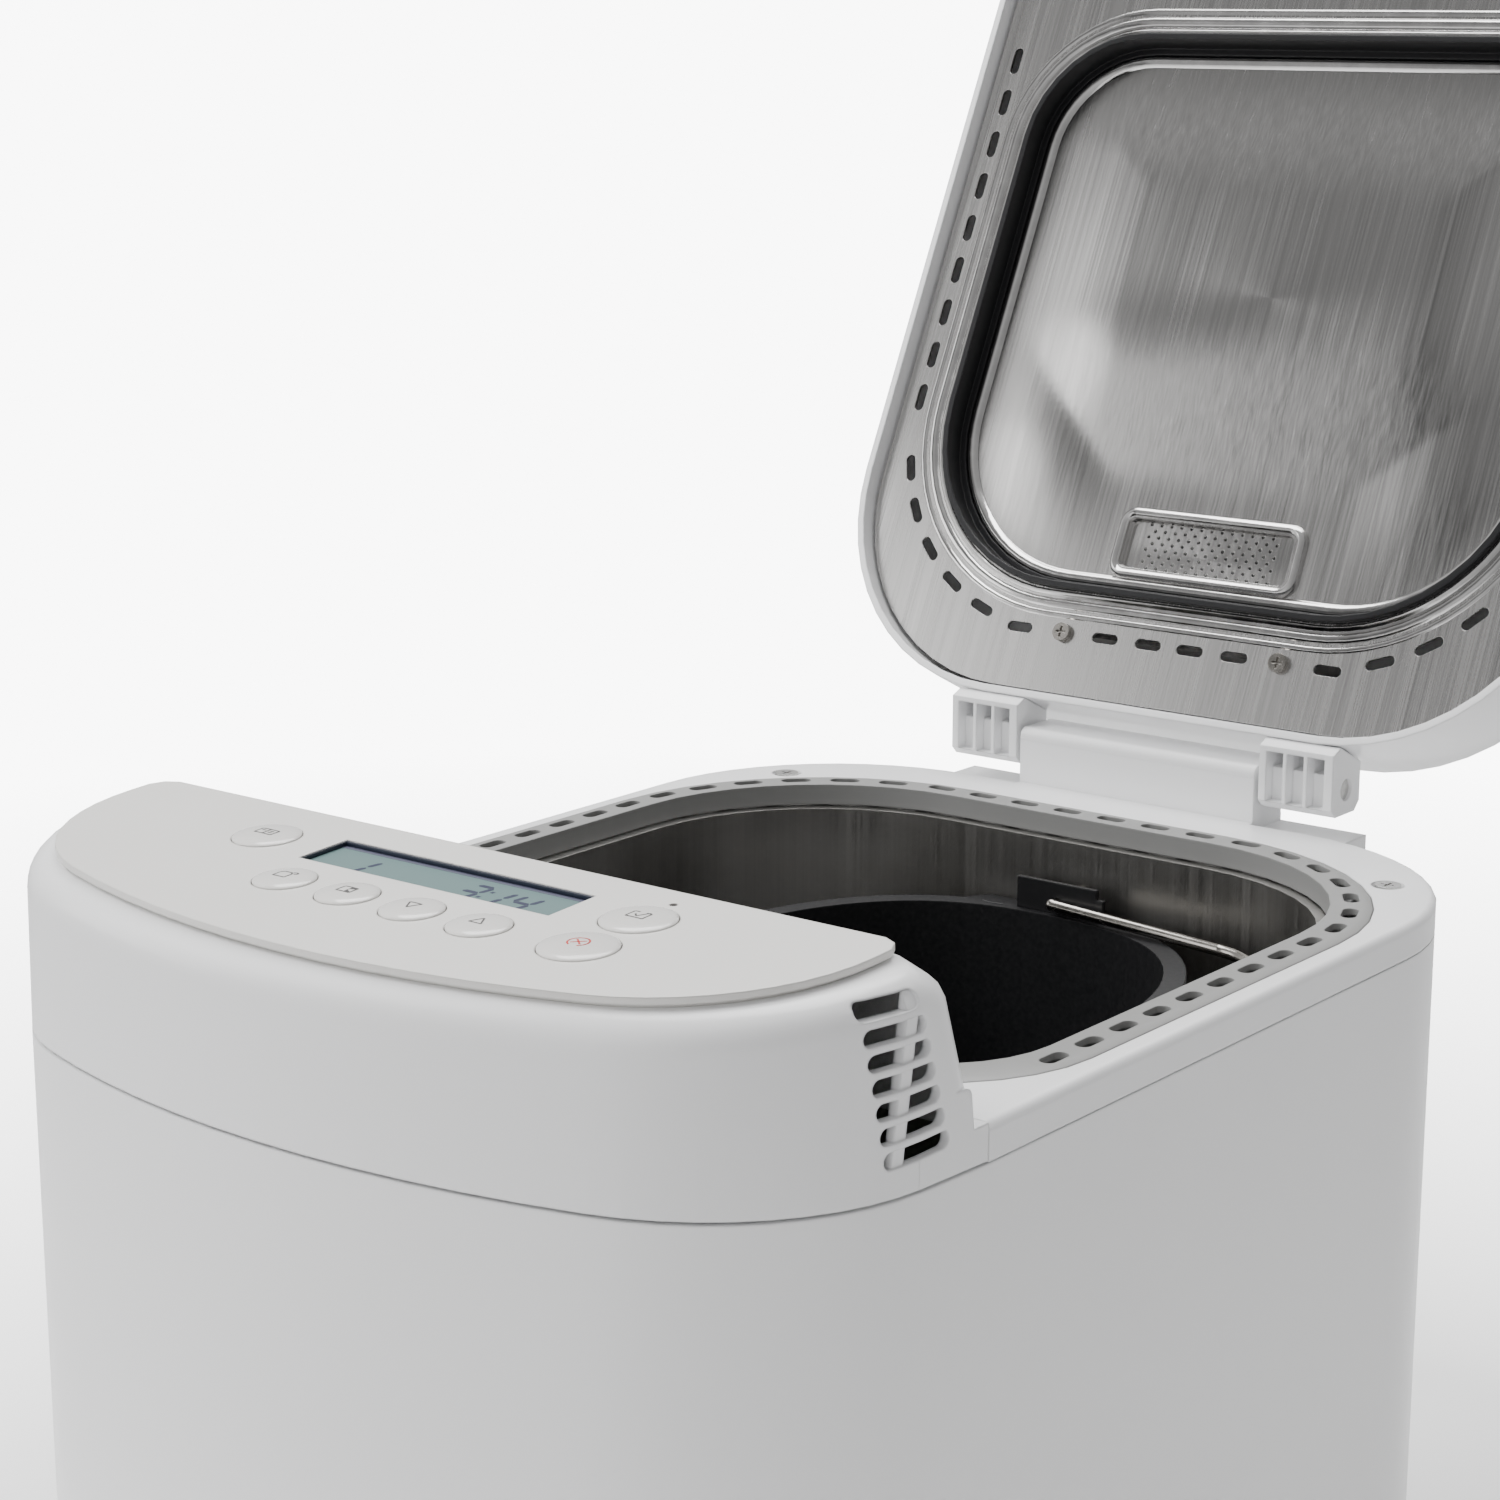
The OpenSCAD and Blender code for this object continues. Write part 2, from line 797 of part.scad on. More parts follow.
module motor_case() {
    color("silver")
        at_motor()
            difference() {
                union() {
                    translate([0, 0, chassis_z + 2])
                        cylinder(r = 32, h = 72);
                    translate([0, 0, chassis_z + 74])
                        cylinder(r = 14, h = 6);
                }
                translate([0, 0, chassis_z])
                    cylinder(r = shaft_r + run_gap, h = 60);
                for (x = [-1, 1])
                    translate([x * 26, 0, chassis_z + 1])
                        cylinder(r = 2, h = 8);
            }
}

module motor_screws() {
    color("silver")
        at_motor()
            for (x = [-1, 1])
                translate([x * 26, 0, chassis_z - 1.8])
                    mirror([0, 0, 1])
                        screw(3.6, 8);
}

// Flat belt round both pulleys
belt_t = 1.6;
module drive_belt() {
    d = chamber_y - motor_y;
    t = asin((pulley_r - motor_pulley_r) / d);
    big = arc(0, chamber_y, pulley_r + gap, -t, 180 + t, 36);
    small = arc(0, motor_y, motor_pulley_r + gap, 180 + t, 360 - t, 16);
    big_out = arc(0, chamber_y, pulley_r + gap + belt_t, -t, 180 + t, 36);
    small_out = arc(0, motor_y, motor_pulley_r + gap + belt_t, 180 + t, 360 - t, 16);
    color("black")
        tube(concat(big_out, small_out), concat(big, small), belt_z, belt_z + belt_h);
}

// Pulley with a flange on each side of the belt
module pulley(r, bore) {
    difference() {
        union() {
            translate([0, 0, belt_z - 2])
                cylinder(r = r, h = belt_h + 4);
            for (z = [belt_z - 3, belt_z + belt_h + 1])
                translate([0, 0, z])
                    cylinder(r = r + 2.2, h = 2);
        }
        translate([0, 0, belt_z - 5])
            cylinder(r = bore, h = belt_h + 10);
    }
}

module drive_pulley() {
    color("dimgray")
        at_drive()
            difference() {
                pulley(pulley_r, shaft_r);
                for (a = [0 : 60 : 300])
                    rotate(a)
                        translate([27, 0, belt_z - 5])
                            cylinder(r = 9, h = belt_h + 10);
            }
}

module drive_shaft() {
    color("silver")
        at_drive()
            translate([0, 0, 38])
                cylinder(r = shaft_r, h = 64);
}

module drive_coupler() {
    color("dimgray")
        at_drive()
            difference() {
                union() {
                    translate([0, 0, 98])
                        cylinder(r = 16, h = 4);
                    for (a = [0, 180])
                        rotate(a)
                            translate([4.6, 4, 101])
                                cube([6, 8, 9]);
                }
                translate([0, 0, 97])
                    cylinder(r = shaft_r, h = 5);
            }
}

module motor_shaft() {
    color("silver")
        at_motor()
            translate([0, 0, 38])
                cylinder(r = shaft_r, h = 82);
}

module motor_pulley() {
    color("dimgray")
        at_motor()
            pulley(motor_pulley_r, shaft_r);
}

module power_board() {
    color("darkgreen")
        translate([-70, front_y + 24, 158])
            difference() {
                union() {
                    cube([140, 1.6, 92]);
                    translate([14, 1.6, 10])
                        cube([34, 24, 30]);
                    translate([60, 1.6, 14])
                        cube([22, 16, 24]);
                    translate([104, 9.6, 60])
                        rotate([90, 0, 0])
                            cylinder(r = 9, h = 8);
                }
                for (x = [6, 134], z = [6, 86])
                    translate([x, -1, z])
                        rotate([-90, 0, 0])
                            cylinder(r = 1.8, h = 4);
            }
}

module cord_inlet() {
    color("dimgray")
        translate([0, back_y, 60])
            rotate([-90, 0, 0])
                difference() {
                    union() {
                        translate([0, 0, -6])
                            cylinder(r = 9, h = 7);
                        cylinder(r = 13, h = 3);
                    }
                    translate([0, 0, -7])
                        cylinder(r = 3.6, h = 12);
                }
}

// ---- Lid, drawn closed ----

// Lid outline drawn in by e, with its front edge at y
function lid_pts(e, y) =
    let (r = max(14 - e, 4), cx = lid_half - e - r)
    concat(arc(-cx, y + r, r, 180, 270, 6), arc(cx, y + r, r, 270, 360, 6),
        stern(lid_half, lid_back, lid_back_r, e));

// Domed block: its sides rise straight, then draw in towards the crown
vent_size = [71, 24.6];
vent_corner = 6;
vent_mid = lid_back - slot_inset - 36;
dome = [[0, 0], [0.52, 0], [0.68, 4], [0.8, 11], [0.9, 24], [0.96, 40], [1, 66]];
function lid_front(z) = wall_back + 1.4 + lean * max(0, panel_z - z);
function lid_level(i, e, z0) =
    let (d = dome[i], z = i == 0 ? z0 : liner_z + (lid_crown - e) * d[0])
    [lid_pts(d[1] + e, lid_front(z) + d[1] * 0.5 + e), z];

module lid_block(e, z0) {
    loft([for (i = [0 : len(dome) - 1]) lid_level(i, e, z0)]);
}

module lid_cover() {
    color("whitesmoke")
        opened()
            difference() {
                lid_block(0, lip_z);
                lid_block(wall, lip_z - 5);
                for (i = [-1, 1])
                    translate([-32, vent_mid + 21 + i * 9 - 2.5, 300])
                        cube([64, 5, 60]);
            }
}

// Duct that leads the steam from the vent plate to the slots in the cover
module steam_duct() {
    duct_z = liner_z + recess_d + liner_t;
    color("silver")
        opened()
            translate([0, vent_mid, duct_z])
                difference() {
                    translate([-40, -16, 0])
                        cube([80, 50, 35]);
                    translate([-38.5, -14.5, -1])
                        cube([77, 47, 37]);
                }
}

// Opening in the liner, drawn in by e: the line of the gasket
function mouth_pts(e) =
    tub_pts(112, lid_front_low + 42, lid_back - 40, 40, 62, e);

liner_t = 1.2;
liner_turn_r = 76.5;
liner_turn_y = lid_back - slot_inset - liner_turn_r;
module liner_slots() {
    mid = 11;
    for (s = [-1, 1]) {
        for (i = [0 : 8])
            translate([s * (lid_half - mid), liner_turn_y - 1.5 - i * side_pitch, 0])
                rotate(90)
                    slot(10, 3.6, liner_z - 4, 10);
        for (i = [0 : 4])
            translate([s * (lid_half - mid - liner_turn_r), liner_turn_y, 0])
                rotate(s * (19 + i * 12.6 - 90))
                    translate([0, liner_turn_r, 0])
                        slot(10, 3.6, liner_z - 4, 10);
    }
    for (x = [-59, -24.8, -8, 8, 24.8, 59])
        translate([x, lid_back - slot_inset, 0])
            slot(10, 3.6, liner_z - 4, 10);
}

lid_screw_places = [[-41.5, lid_back - slot_inset], [41.5, lid_back - slot_inset],
    [-96, lid_front_low + 20], [96, lid_front_low + 20]];

module lid_liner() {
    color("silver")
        opened()
            difference() {
                union() {
                    tube(lid_pts(4, lid_front_low + 4), mouth_pts(0), liner_z, liner_z + liner_t);
                    tube(mouth_pts(-liner_t), mouth_pts(0), liner_z, liner_z + recess_d + 1);
                }
                liner_slots();
                for (p = lid_screw_places)
                    translate([p[0], p[1], liner_z - 1])
                        cylinder(r = 1.7, h = 4);
            }
}

module lid_screws() {
    color("silver")
        opened()
            for (p = lid_screw_places)
                translate([p[0], p[1], liner_z - 1.8])
                    mirror([0, 0, 1])
                        screw(3.2, 8);
}

module lid_gasket() {
    color("black")
        opened() {
            tube(mouth_pts(0.1), mouth_pts(2.2), liner_z - 2.4, liner_z + recess_d);
            tube(mouth_pts(2.1), mouth_pts(4.6), liner_z + recess_d - 2, liner_z + recess_d);
        }
}

module lid_centre_plate() {
    color("silver")
        opened()
            difference() {
                slab(mouth_pts(0.1), liner_z + recess_d, liner_z + recess_d + liner_t);
                translate([0, vent_mid, liner_z])
                    linear_extrude(20)
                        round_rect(vent_size[0] - 2, vent_size[1] - 2, vent_corner - 1);
            }
}

module vent_plate() {
    vz = liner_z + recess_d;
    color("silver")
        opened()
            translate([0, vent_mid, 0])
                difference() {
                    union() {
                        translate([0, 0, vz - 1.6])
                            linear_extrude(1.6)
                                round_rect(vent_size[0], vent_size[1], vent_corner);
                        translate([0, 0, vz - 0.1])
                            linear_extrude(2.4)
                                round_rect(vent_size[0] - 2.2, vent_size[1] - 2.2, vent_corner - 1.1);
                    }
                    translate([0, 0, vz - 3])
                        linear_extrude(4.2)
                            round_rect(vent_size[0] - 7, vent_size[1] - 7, vent_corner - 3.5);
                    for (i = [0 : 12], j = [0 : 7])
                        translate([(i - 6) * 3.9 + (j % 2 == 0 ? -1 : 1), (j - 3.5) * 2.2, vz - 4])
                            cylinder(r = 0.6, h = 10, $fn = 16);
                }
}

// Arm on each side of the hinge block, drawn open: a block on the pin with a ribbed pocket in its front
module hinge_arms() {
    color("whitesmoke")
        for (s = [-1, 1])
            translate([s > 0 ? arm_in : -arm_out, hinge_y, hinge_z])
                difference() {
                    rotate([90, 0, 90])
                        linear_extrude(arm_out - arm_in)
                            polygon([[-9, -5.5], [-6.5, -8], [6, -8], [9, -5], [9, 7.8], [-4.4, 14.3],
                                [-9, 12.5]]);
                    translate([-1, 0, 0])
                        rotate([0, 90, 0])
                            cylinder(r = hinge_pin_r + run_gap, h = 60);
                    for (k = [0 : 2])
                        translate([2.6 + k * 7.4, 0, 0]) {
                            translate([0, -10, -5.6])
                                cube([6, 5.2, 16.4]);
                            translate([0, -10, 5])
                                cube([6, 12.5, 5.4]);
                        }
                }
}

// ---- Bread pan ----

// Pan wall drawn in by e, from its rim down to its underside
module pan_body(e, z0, z1) {
    function wall_egg(in) = egg(rim_a - rim_w - e - in, rim_b - rim_w - e - in);
    function taper(z) = pan_taper * (rim_z - z) / pan_h;
    hull() {
        slab(wall_egg(taper(z1)), z1 - 0.02, z1);
        slab(wall_egg(taper(z0 + 10)), z0 + 10, z0 + 10.02);
        slab(wall_egg(pan_taper + 8), z0, z0 + 0.02);
    }
}

// Upright flutes, one on each long side
flute_y = 38;
flute_r = 13;
flute_bite = 5;
module flutes(r) {
    for (s = [-1, 1])
        translate([s * (rim_a - rim_w + flute_r - flute_bite), chamber_y + s * flute_y, pan_floor + 14])
            rotate([0, -s * atan(pan_taper / pan_h), 0]) {
                cylinder(r = r, h = pan_h - 38);
                translate([0, 0, pan_h - 38])
                    sphere(r = r);
            }
}

function lug_pts(s) = [[-44, chamber_y + s * 88], [44, chamber_y + s * 88],
    [30, chamber_y + s * (rim_b + 3)], [-30, chamber_y + s * (rim_b + 3)]];

module pan_shell() {
    color("darkgray")
        difference() {
            union() {
                difference() {
                    pan_body(0, pan_floor, rim_z - 1);
                    flutes(flute_r);
                }
                slab(egg(rim_a, rim_b), rim_z - 2.6, rim_z);
                for (s = [-1, 1])
                    slab(lug_pts(s), rim_z - 2.6, rim_z);
            }
            difference() {
                pan_body(pan_t, pan_floor + pan_t + 0.5, rim_z + 1);
                flutes(flute_r + pan_t);
            }
            at_drive()
                translate([0, 0, pan_floor - 1])
                    cylinder(r = 6.05, h = 8);
            for (s = [-1, 1], x = [-9, 9])
                translate([x, chamber_y + s * (rim_b - 0.2), rim_z - 4])
                    cylinder(r = 1.3, h = 6);
        }
}

module pan_brackets() {
    color("black")
        for (s = [-1, 1])
            translate([0, chamber_y, 0])
                mirror([0, s > 0 ? 0 : 1, 0])
                    difference() {
                        union() {
                            translate([-15, plate_y - plate_t, rim_z])
                                cube([30, plate_t, 10.4]);
                            translate([-15, plate_y - plate_t, rim_z])
                                cube([32.5, plate_t, 7.2]);
                            translate([-15, plate_y - 0.1, rim_z])
                                cube([32.5, 5, 1.2]);
                        }
                        translate([0, plate_y - 5, pivot_z])
                            rotate([-90, 0, 0])
                                cylinder(r = wire_r + run_gap, h = 10);
                        for (x = [-9, 9])
                            translate([x, rim_b - 0.2, rim_z - 1])
                                cylinder(r = 1.3, h = 4);
                    }
}

module bracket_rivets() {
    color("silver")
        for (s = [-1, 1], x = [-9, 9])
            translate([x, chamber_y + s * (rim_b - 0.2), rim_z - 2.6]) {
                cylinder(r = 1.3, h = 4.2);
                translate([0, 0, 3.8])
                    cylinder(r = 2.2, h = 0.9);
            }
}

module pan_foot() {
    color("silver")
        at_drive()
            difference() {
                union() {
                    ring(34, 30.5, tub_floor + sheet + 2.3, pan_floor);
                    ring(40, 8, pan_floor - 2.2, pan_floor);
                    ring(10, 6.05, pan_floor - 2.2, pan_floor);
                    for (a = [0, 180])
                        rotate(a)
                            translate([33, -5, 104.5])
                                cube([6.5, 10, 4]);
                }
                translate([0, 0, pan_floor - 8])
                    cylinder(r = 6.05, h = 20);
            }
}

module shaft_bush() {
    color("goldenrod")
        at_drive()
            ring(6, shaft_r + run_gap, pan_floor - 1.8, pan_floor + 8);
}

module shaft_seal() {
    color("black")
        at_drive()
            ring(9, 6.1, pan_floor + 2.5, pan_floor + 4.5);
}

// Bail wire drawn upright about its pivots: pins, legs that lean in, and a round-cornered grip
bail_lean = 7;
bail_bend = 24;
module upright_bail() {
    top = leg_y - bail_lean;
    lean_a = atan(bail_lean / bail_h);
    bend_a = 90 - lean_a;
    drop = bail_bend * tan(bend_a / 2);
    for (s = [-1, 1])
        mirror([0, s > 0 ? 0 : 1, 0]) {
            translate([0, leg_y, 0])
                rotate([-90, 0, 0])
                    cylinder(r = wire_r, h = plate_y + 3.4 - leg_y);
            translate([0, leg_y, 0])
                sphere(r = wire_r + 0.2);
            translate([0, plate_y + 3.4, 0])
                sphere(r = wire_r + 0.12);
            rod([0, leg_y, 0], [0, top + drop * sin(lean_a), bail_h - drop * cos(lean_a)], wire_r);
            translate([0, top + drop * sin(lean_a), bail_h - drop * cos(lean_a)])
                sphere(r = wire_r + 0.12);
            translate([0, top - drop, bail_h - bail_bend])
                rotate([0, -90, 0])
                    rotate_extrude(angle = bend_a)
                        translate([bail_bend, 0])
                            circle(r = wire_r);
            rod([0, plate_y + 3.4, 0], [-3.2, plate_y + 3.4, 4.6], wire_r);
        }
    rod([0, drop - top, bail_h], [0, top - drop, bail_h], wire_r);
}

module bail() {
    color("silver")
        translate([0, chamber_y, pivot_z])
            rotate([0, bail_fold, 0])
                upright_bail();
}

// ---- Kneading blade ----

module kneading_shaft() {
    color("silver")
        at_drive()
            translate([0, 0, 106])
                cylinder(r = shaft_r, h = 42);
}

module wing_coupler() {
    color("dimgray")
        at_drive()
            difference() {
                union() {
                    translate([-4, -14, 103])
                        cube([8, 28, 7.5]);
                    translate([0, 0, 103])
                        cylinder(r = 3.9, h = 2.8);
                }
                translate([0, 0, 106])
                    cylinder(r = shaft_r, h = 20);
            }
}

module kneading_blade() {
    color("dimgray")
        at_drive()
            difference() {
                union() {
                    translate([0, 0, pan_floor + 10])
                        cylinder(r = 10, h = 27);
                    rotate([90, 0, 0])
                        translate([0, 0, -2.5])
                            linear_extrude(5)
                                polygon([[0, pan_floor + 10], [40, pan_floor + 10], [43, pan_floor + 13],
                                    [37, pan_floor + 31], [31, pan_floor + 37], [0, pan_floor + 37]]);
                }
                translate([0, 0, pan_floor])
                    cylinder(r = shaft_r, h = 35);
            }
}

base_tray();
feet();
base_screws();
lower_casing();
top_frame();
front_housing();
control_panel();
lcd_window();
lcd_module();
control_board();
tact_switches();
status_led();
chamber_ring();
baking_chamber();
heating_element();
heater_clips();
temperature_sensor();
pan_socket();
socket_screws();
chassis_plate();
shaft_bearing();
motor_case();
motor_screws();
drive_belt();
power_board();
cord_inlet();
deck_screws();
hinge_pins();
lid_cover();
lid_liner();
lid_gasket();
lid_centre_plate();
vent_plate();
steam_duct();
lid_screws();
hinge_arms();
pan_shell();
pan_brackets();
bracket_rivets();
pan_foot();
shaft_bush();
shaft_seal();
bail();
kneading_shaft();
kneading_blade();
wing_coupler();
drive_shaft();
drive_pulley();
drive_coupler();
motor_shaft();
motor_pulley();
button_menu();
button_size();
button_crust();
button_timer_down();
button_timer_up();
button_stop();
button_start();
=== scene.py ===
import bpy
import bmesh
import math
from mathutils import Matrix, Vector
from mathutils.geometry import delaunay_2d_cdt


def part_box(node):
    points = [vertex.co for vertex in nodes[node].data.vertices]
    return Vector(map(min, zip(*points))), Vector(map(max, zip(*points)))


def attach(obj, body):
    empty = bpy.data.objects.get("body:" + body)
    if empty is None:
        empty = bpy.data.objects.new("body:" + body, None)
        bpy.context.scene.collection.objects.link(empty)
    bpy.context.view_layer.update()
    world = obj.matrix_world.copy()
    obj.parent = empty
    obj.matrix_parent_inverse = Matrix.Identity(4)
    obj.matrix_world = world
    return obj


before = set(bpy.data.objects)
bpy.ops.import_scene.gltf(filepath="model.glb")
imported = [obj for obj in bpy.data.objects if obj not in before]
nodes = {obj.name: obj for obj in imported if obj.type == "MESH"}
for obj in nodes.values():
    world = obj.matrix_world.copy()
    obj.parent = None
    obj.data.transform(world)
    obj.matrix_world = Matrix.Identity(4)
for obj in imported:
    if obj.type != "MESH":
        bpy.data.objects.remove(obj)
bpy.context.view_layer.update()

MM = 0.001

# ---- Places taken from the CAD, in millimetres with the lid shut ----
PANEL_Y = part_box("control_panel")[1][1] / MM  # the panel's back edge
PANEL_Z = 333.0  # the height of that edge
PANEL_TILT = math.radians(3.4)
LID_OPEN = 116.0  # degrees from shut to its stop
HINGE_Y = PANEL_Y + 313
HINGE_Z = PANEL_Z - 33
LINER_DROP = 39
LINER_Z = PANEL_Z - LINER_DROP  # the flat face of the lid's lining
LID_BACK = PANEL_Y + 302
LID_GAP = 3.9  # between the lid and the panel
LID_SLOPE = 0.33  # of the lid's front end
LID_FRONT = PANEL_Y + LID_GAP + LID_SLOPE * LINER_DROP
CHAMBER_Y = PANEL_Y + 153.5
PAN_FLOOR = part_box("pan_shell")[0][2]  # in metres
RIM_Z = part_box("pan_shell")[1][2] / MM
RIM_THICK = 2.9
PAN_TAPER = 7 / 145  # how much the wall leans out, for each unit of height
PAN_INSIDE = (76.2, 104.2)  # half axes of the middle of the wall, at the rim
PAN_POWER = 2.5  # of the outline, between an ellipse and a rectangle
FLUTE_AT = (0.085, 0.038)  # axis of a flute at its foot, in metres from the pan's middle
FLUTE_FOOT = 0.014
FLUTE_TALL = 0.107
FLUTE_SKIN = 0.0139  # farther than this from the axis is the inside of the pan

PANEL = Matrix.Translation((0, PANEL_Y, PANEL_Z)) @ Matrix.Rotation(PANEL_TILT, 4, "X")
LID = (Matrix.Translation((0, HINGE_Y, HINGE_Z))
       @ Matrix.Rotation(math.radians(-LID_OPEN), 4, "X")
       @ Matrix.Translation((0, -HINGE_Y, -HINGE_Z)))
HERE = Matrix.Identity(4)


# ---- Materials ----
class Net:
    """A material's nodes, joined by short calls."""

    def __init__(self, name):
        self.m = bpy.data.materials.new(name)
        self.m.use_nodes = True
        self.t = self.m.node_tree
        self.b = self.t.nodes["Principled BSDF"]
        co = self.t.nodes.new("ShaderNodeTexCoord")
        self.at = co.outputs["Object"]

    def node(self, kind, **props):
        n = self.t.nodes.new(kind)
        for k, v in props.items():
            setattr(n, k, v)
        return n

    def link(self, a, b):
        self.t.links.new(a, b)

    def stretch(self, sx, sy, sz, turn=0.0):
        """Coordinates turned about X by an angle in degrees, then scaled."""
        n = self.node("ShaderNodeMapping")
        n.inputs["Rotation"].default_value = (math.radians(turn), 0, 0)
        self.link(self.at, n.inputs["Vector"])
        m = self.node("ShaderNodeMapping")
        m.inputs["Scale"].default_value = (sx, sy, sz)
        self.link(n.outputs["Vector"], m.inputs["Vector"])
        return m.outputs["Vector"]

    def noise(self, scale, detail, at=None):
        n = self.node("ShaderNodeTexNoise")
        n.inputs["Scale"].default_value = scale
        n.inputs["Detail"].default_value = detail
        n.inputs["Roughness"].default_value = 0.55
        self.link(at or self.at, n.inputs["Vector"])
        return n.outputs["Fac"]

    def cells(self, scale):
        n = self.node("ShaderNodeTexVoronoi")
        n.inputs["Scale"].default_value = scale
        self.link(self.at, n.inputs["Vector"])
        return n.outputs

    def ramp(self, value, *stops):
        n = self.node("ShaderNodeValToRGB")
        while len(n.color_ramp.elements) < len(stops):
            n.color_ramp.elements.new(0.5)
        for e, (p, c) in zip(n.color_ramp.elements, stops):
            e.position = p
            e.color = (c, c, c, 1) if isinstance(c, (int, float)) else (*c, 1)
        self.link(value, n.inputs["Fac"])
        return n.outputs["Color"]

    def span(self, value, lo, hi, a=0.0, b=1.0):
        n = self.node("ShaderNodeMapRange")
        for k, v in (("From Min", a), ("From Max", b), ("To Min", lo), ("To Max", hi)):
            n.inputs[k].default_value = v
        self.link(value, n.inputs["Value"])
        return n.outputs["Result"]

    def math(self, op, a, b=None):
        n = self.node("ShaderNodeMath", operation=op)
        for i, v in enumerate((a, b)):
            if v is None:
                continue
            if isinstance(v, (int, float)):
                n.inputs[i].default_value = v
            else:
                self.link(v, n.inputs[i])
        return n.outputs["Value"]

    def mix(self, fac, a, b, mode="MIX"):
        n = self.node("ShaderNodeMix", data_type="RGBA", blend_type=mode)
        if isinstance(fac, (int, float)):
            n.inputs["Factor"].default_value = fac
        else:
            self.link(fac, n.inputs["Factor"])
        for i, v in (("A", a), ("B", b)):
            s = [x for x in n.inputs if x.name == i and x.type == "RGBA"][0]
            if isinstance(v, tuple):
                s.default_value = (*v, 1)
            else:
                self.link(v, s)
        return [x for x in n.outputs if x.type == "RGBA"][0]

    def bump(self, height, strength, distance, edge=0.0):
        n = self.node("ShaderNodeBump")
        n.inputs["Strength"].default_value = strength
        n.inputs["Distance"].default_value = distance
        self.link(height, n.inputs["Height"])
        if edge:
            e = self.node("ShaderNodeBevel", samples=4)
            e.inputs["Radius"].default_value = edge
            self.link(e.outputs["Normal"], n.inputs["Normal"])
        self.link(n.outputs["Normal"], self.b.inputs["Normal"])

    def put(self, **values):
        for k, v in values.items():
            s = self.b.inputs[k.replace("_", " ")]
            if isinstance(v, tuple):
                s.default_value = (*v, 1)
            elif isinstance(v, (int, float)):
                s.default_value = v
            else:
                self.link(v, s)
        return self.m


def plastic(name, color, rough, grain=0.05, coat=0.0, edge=0.0007, speck=0.0):
    """Moulded plastic: slightly uneven colour, fine grain and, with speck, a pearl sparkle."""
    n = Net(name)
    big = n.noise(5, 3)
    shade = n.mix(n.span(big, 0.0, 1.0, 0.2, 0.8), tuple(c * 0.98 for c in color), color)
    if speck:
        v = n.cells(2600)
        spark = n.ramp(v["Distance"], (0.0, 1.0), (0.22, 0.0))
        pick = n.ramp(v["Color"], (0.55, 0.0), (0.9, 1.0))
        shade = n.mix(n.math("MULTIPLY", n.math("MULTIPLY", spark, pick), speck), shade,
                      tuple(min(1, c * 1.5 + 0.1) for c in color))
    fine = n.noise(2400, 2)
    n.bump(fine, grain, 0.00012, edge)
    wear = n.span(n.noise(34, 5), rough - 0.015, rough + 0.025, 0.3, 0.7)
    return n.put(Base_Color=shade, Roughness=wear, Coat_Weight=coat, Coat_Roughness=0.12)


def brushed(name, color, rough, along, streak=0.1, aniso=0.5, turn=0.0):
    """Sheet steel with fine lines along one axis, after a turn about X."""
    n = Net(name)
    fine = [1500, 1500, 1500]
    wide = [260, 260, 260]
    fine["xyz".index(along)] = 9
    wide["xyz".index(along)] = 3
    lines = n.noise(1.0, 2, at=n.stretch(*fine, turn=turn))
    bands = n.noise(1.0, 3, at=n.stretch(*wide, turn=turn))
    tone = n.mix(n.span(lines, 0, 1, 0.3, 0.7), tuple(c * (1 - streak) for c in color), color)
    tone = n.mix(n.span(bands, 0, 0.12, 0.35, 0.65), tone, tuple(c * 0.8 for c in color))
    n.bump(lines, 0.035, 0.00004, 0.0004)
    worn = n.math("ADD", n.span(lines, rough - 0.04, rough + 0.05, 0.3, 0.7),
                  n.span(bands, -0.02, 0.03, 0.35, 0.65))
    return n.put(Base_Color=tone, Metallic=1.0, Roughness=worn, Anisotropic=aniso)


def metal(name, color, rough, scale=300, grain=0.1, metallic=1.0):
    """Plain or cast metal with a cloudy finish."""
    n = Net(name)
    f = n.noise(scale, 5)
    tone = n.mix(n.span(f, 0, 1, 0.3, 0.7), tuple(c * 0.82 for c in color), color)
    n.bump(n.noise(scale * 4, 3), grain, 0.00008, 0.0003)
    worn = n.span(f, rough - 0.06, rough + 0.1, 0.3, 0.7)
    return n.put(Base_Color=tone, Metallic=metallic, Roughness=worn)


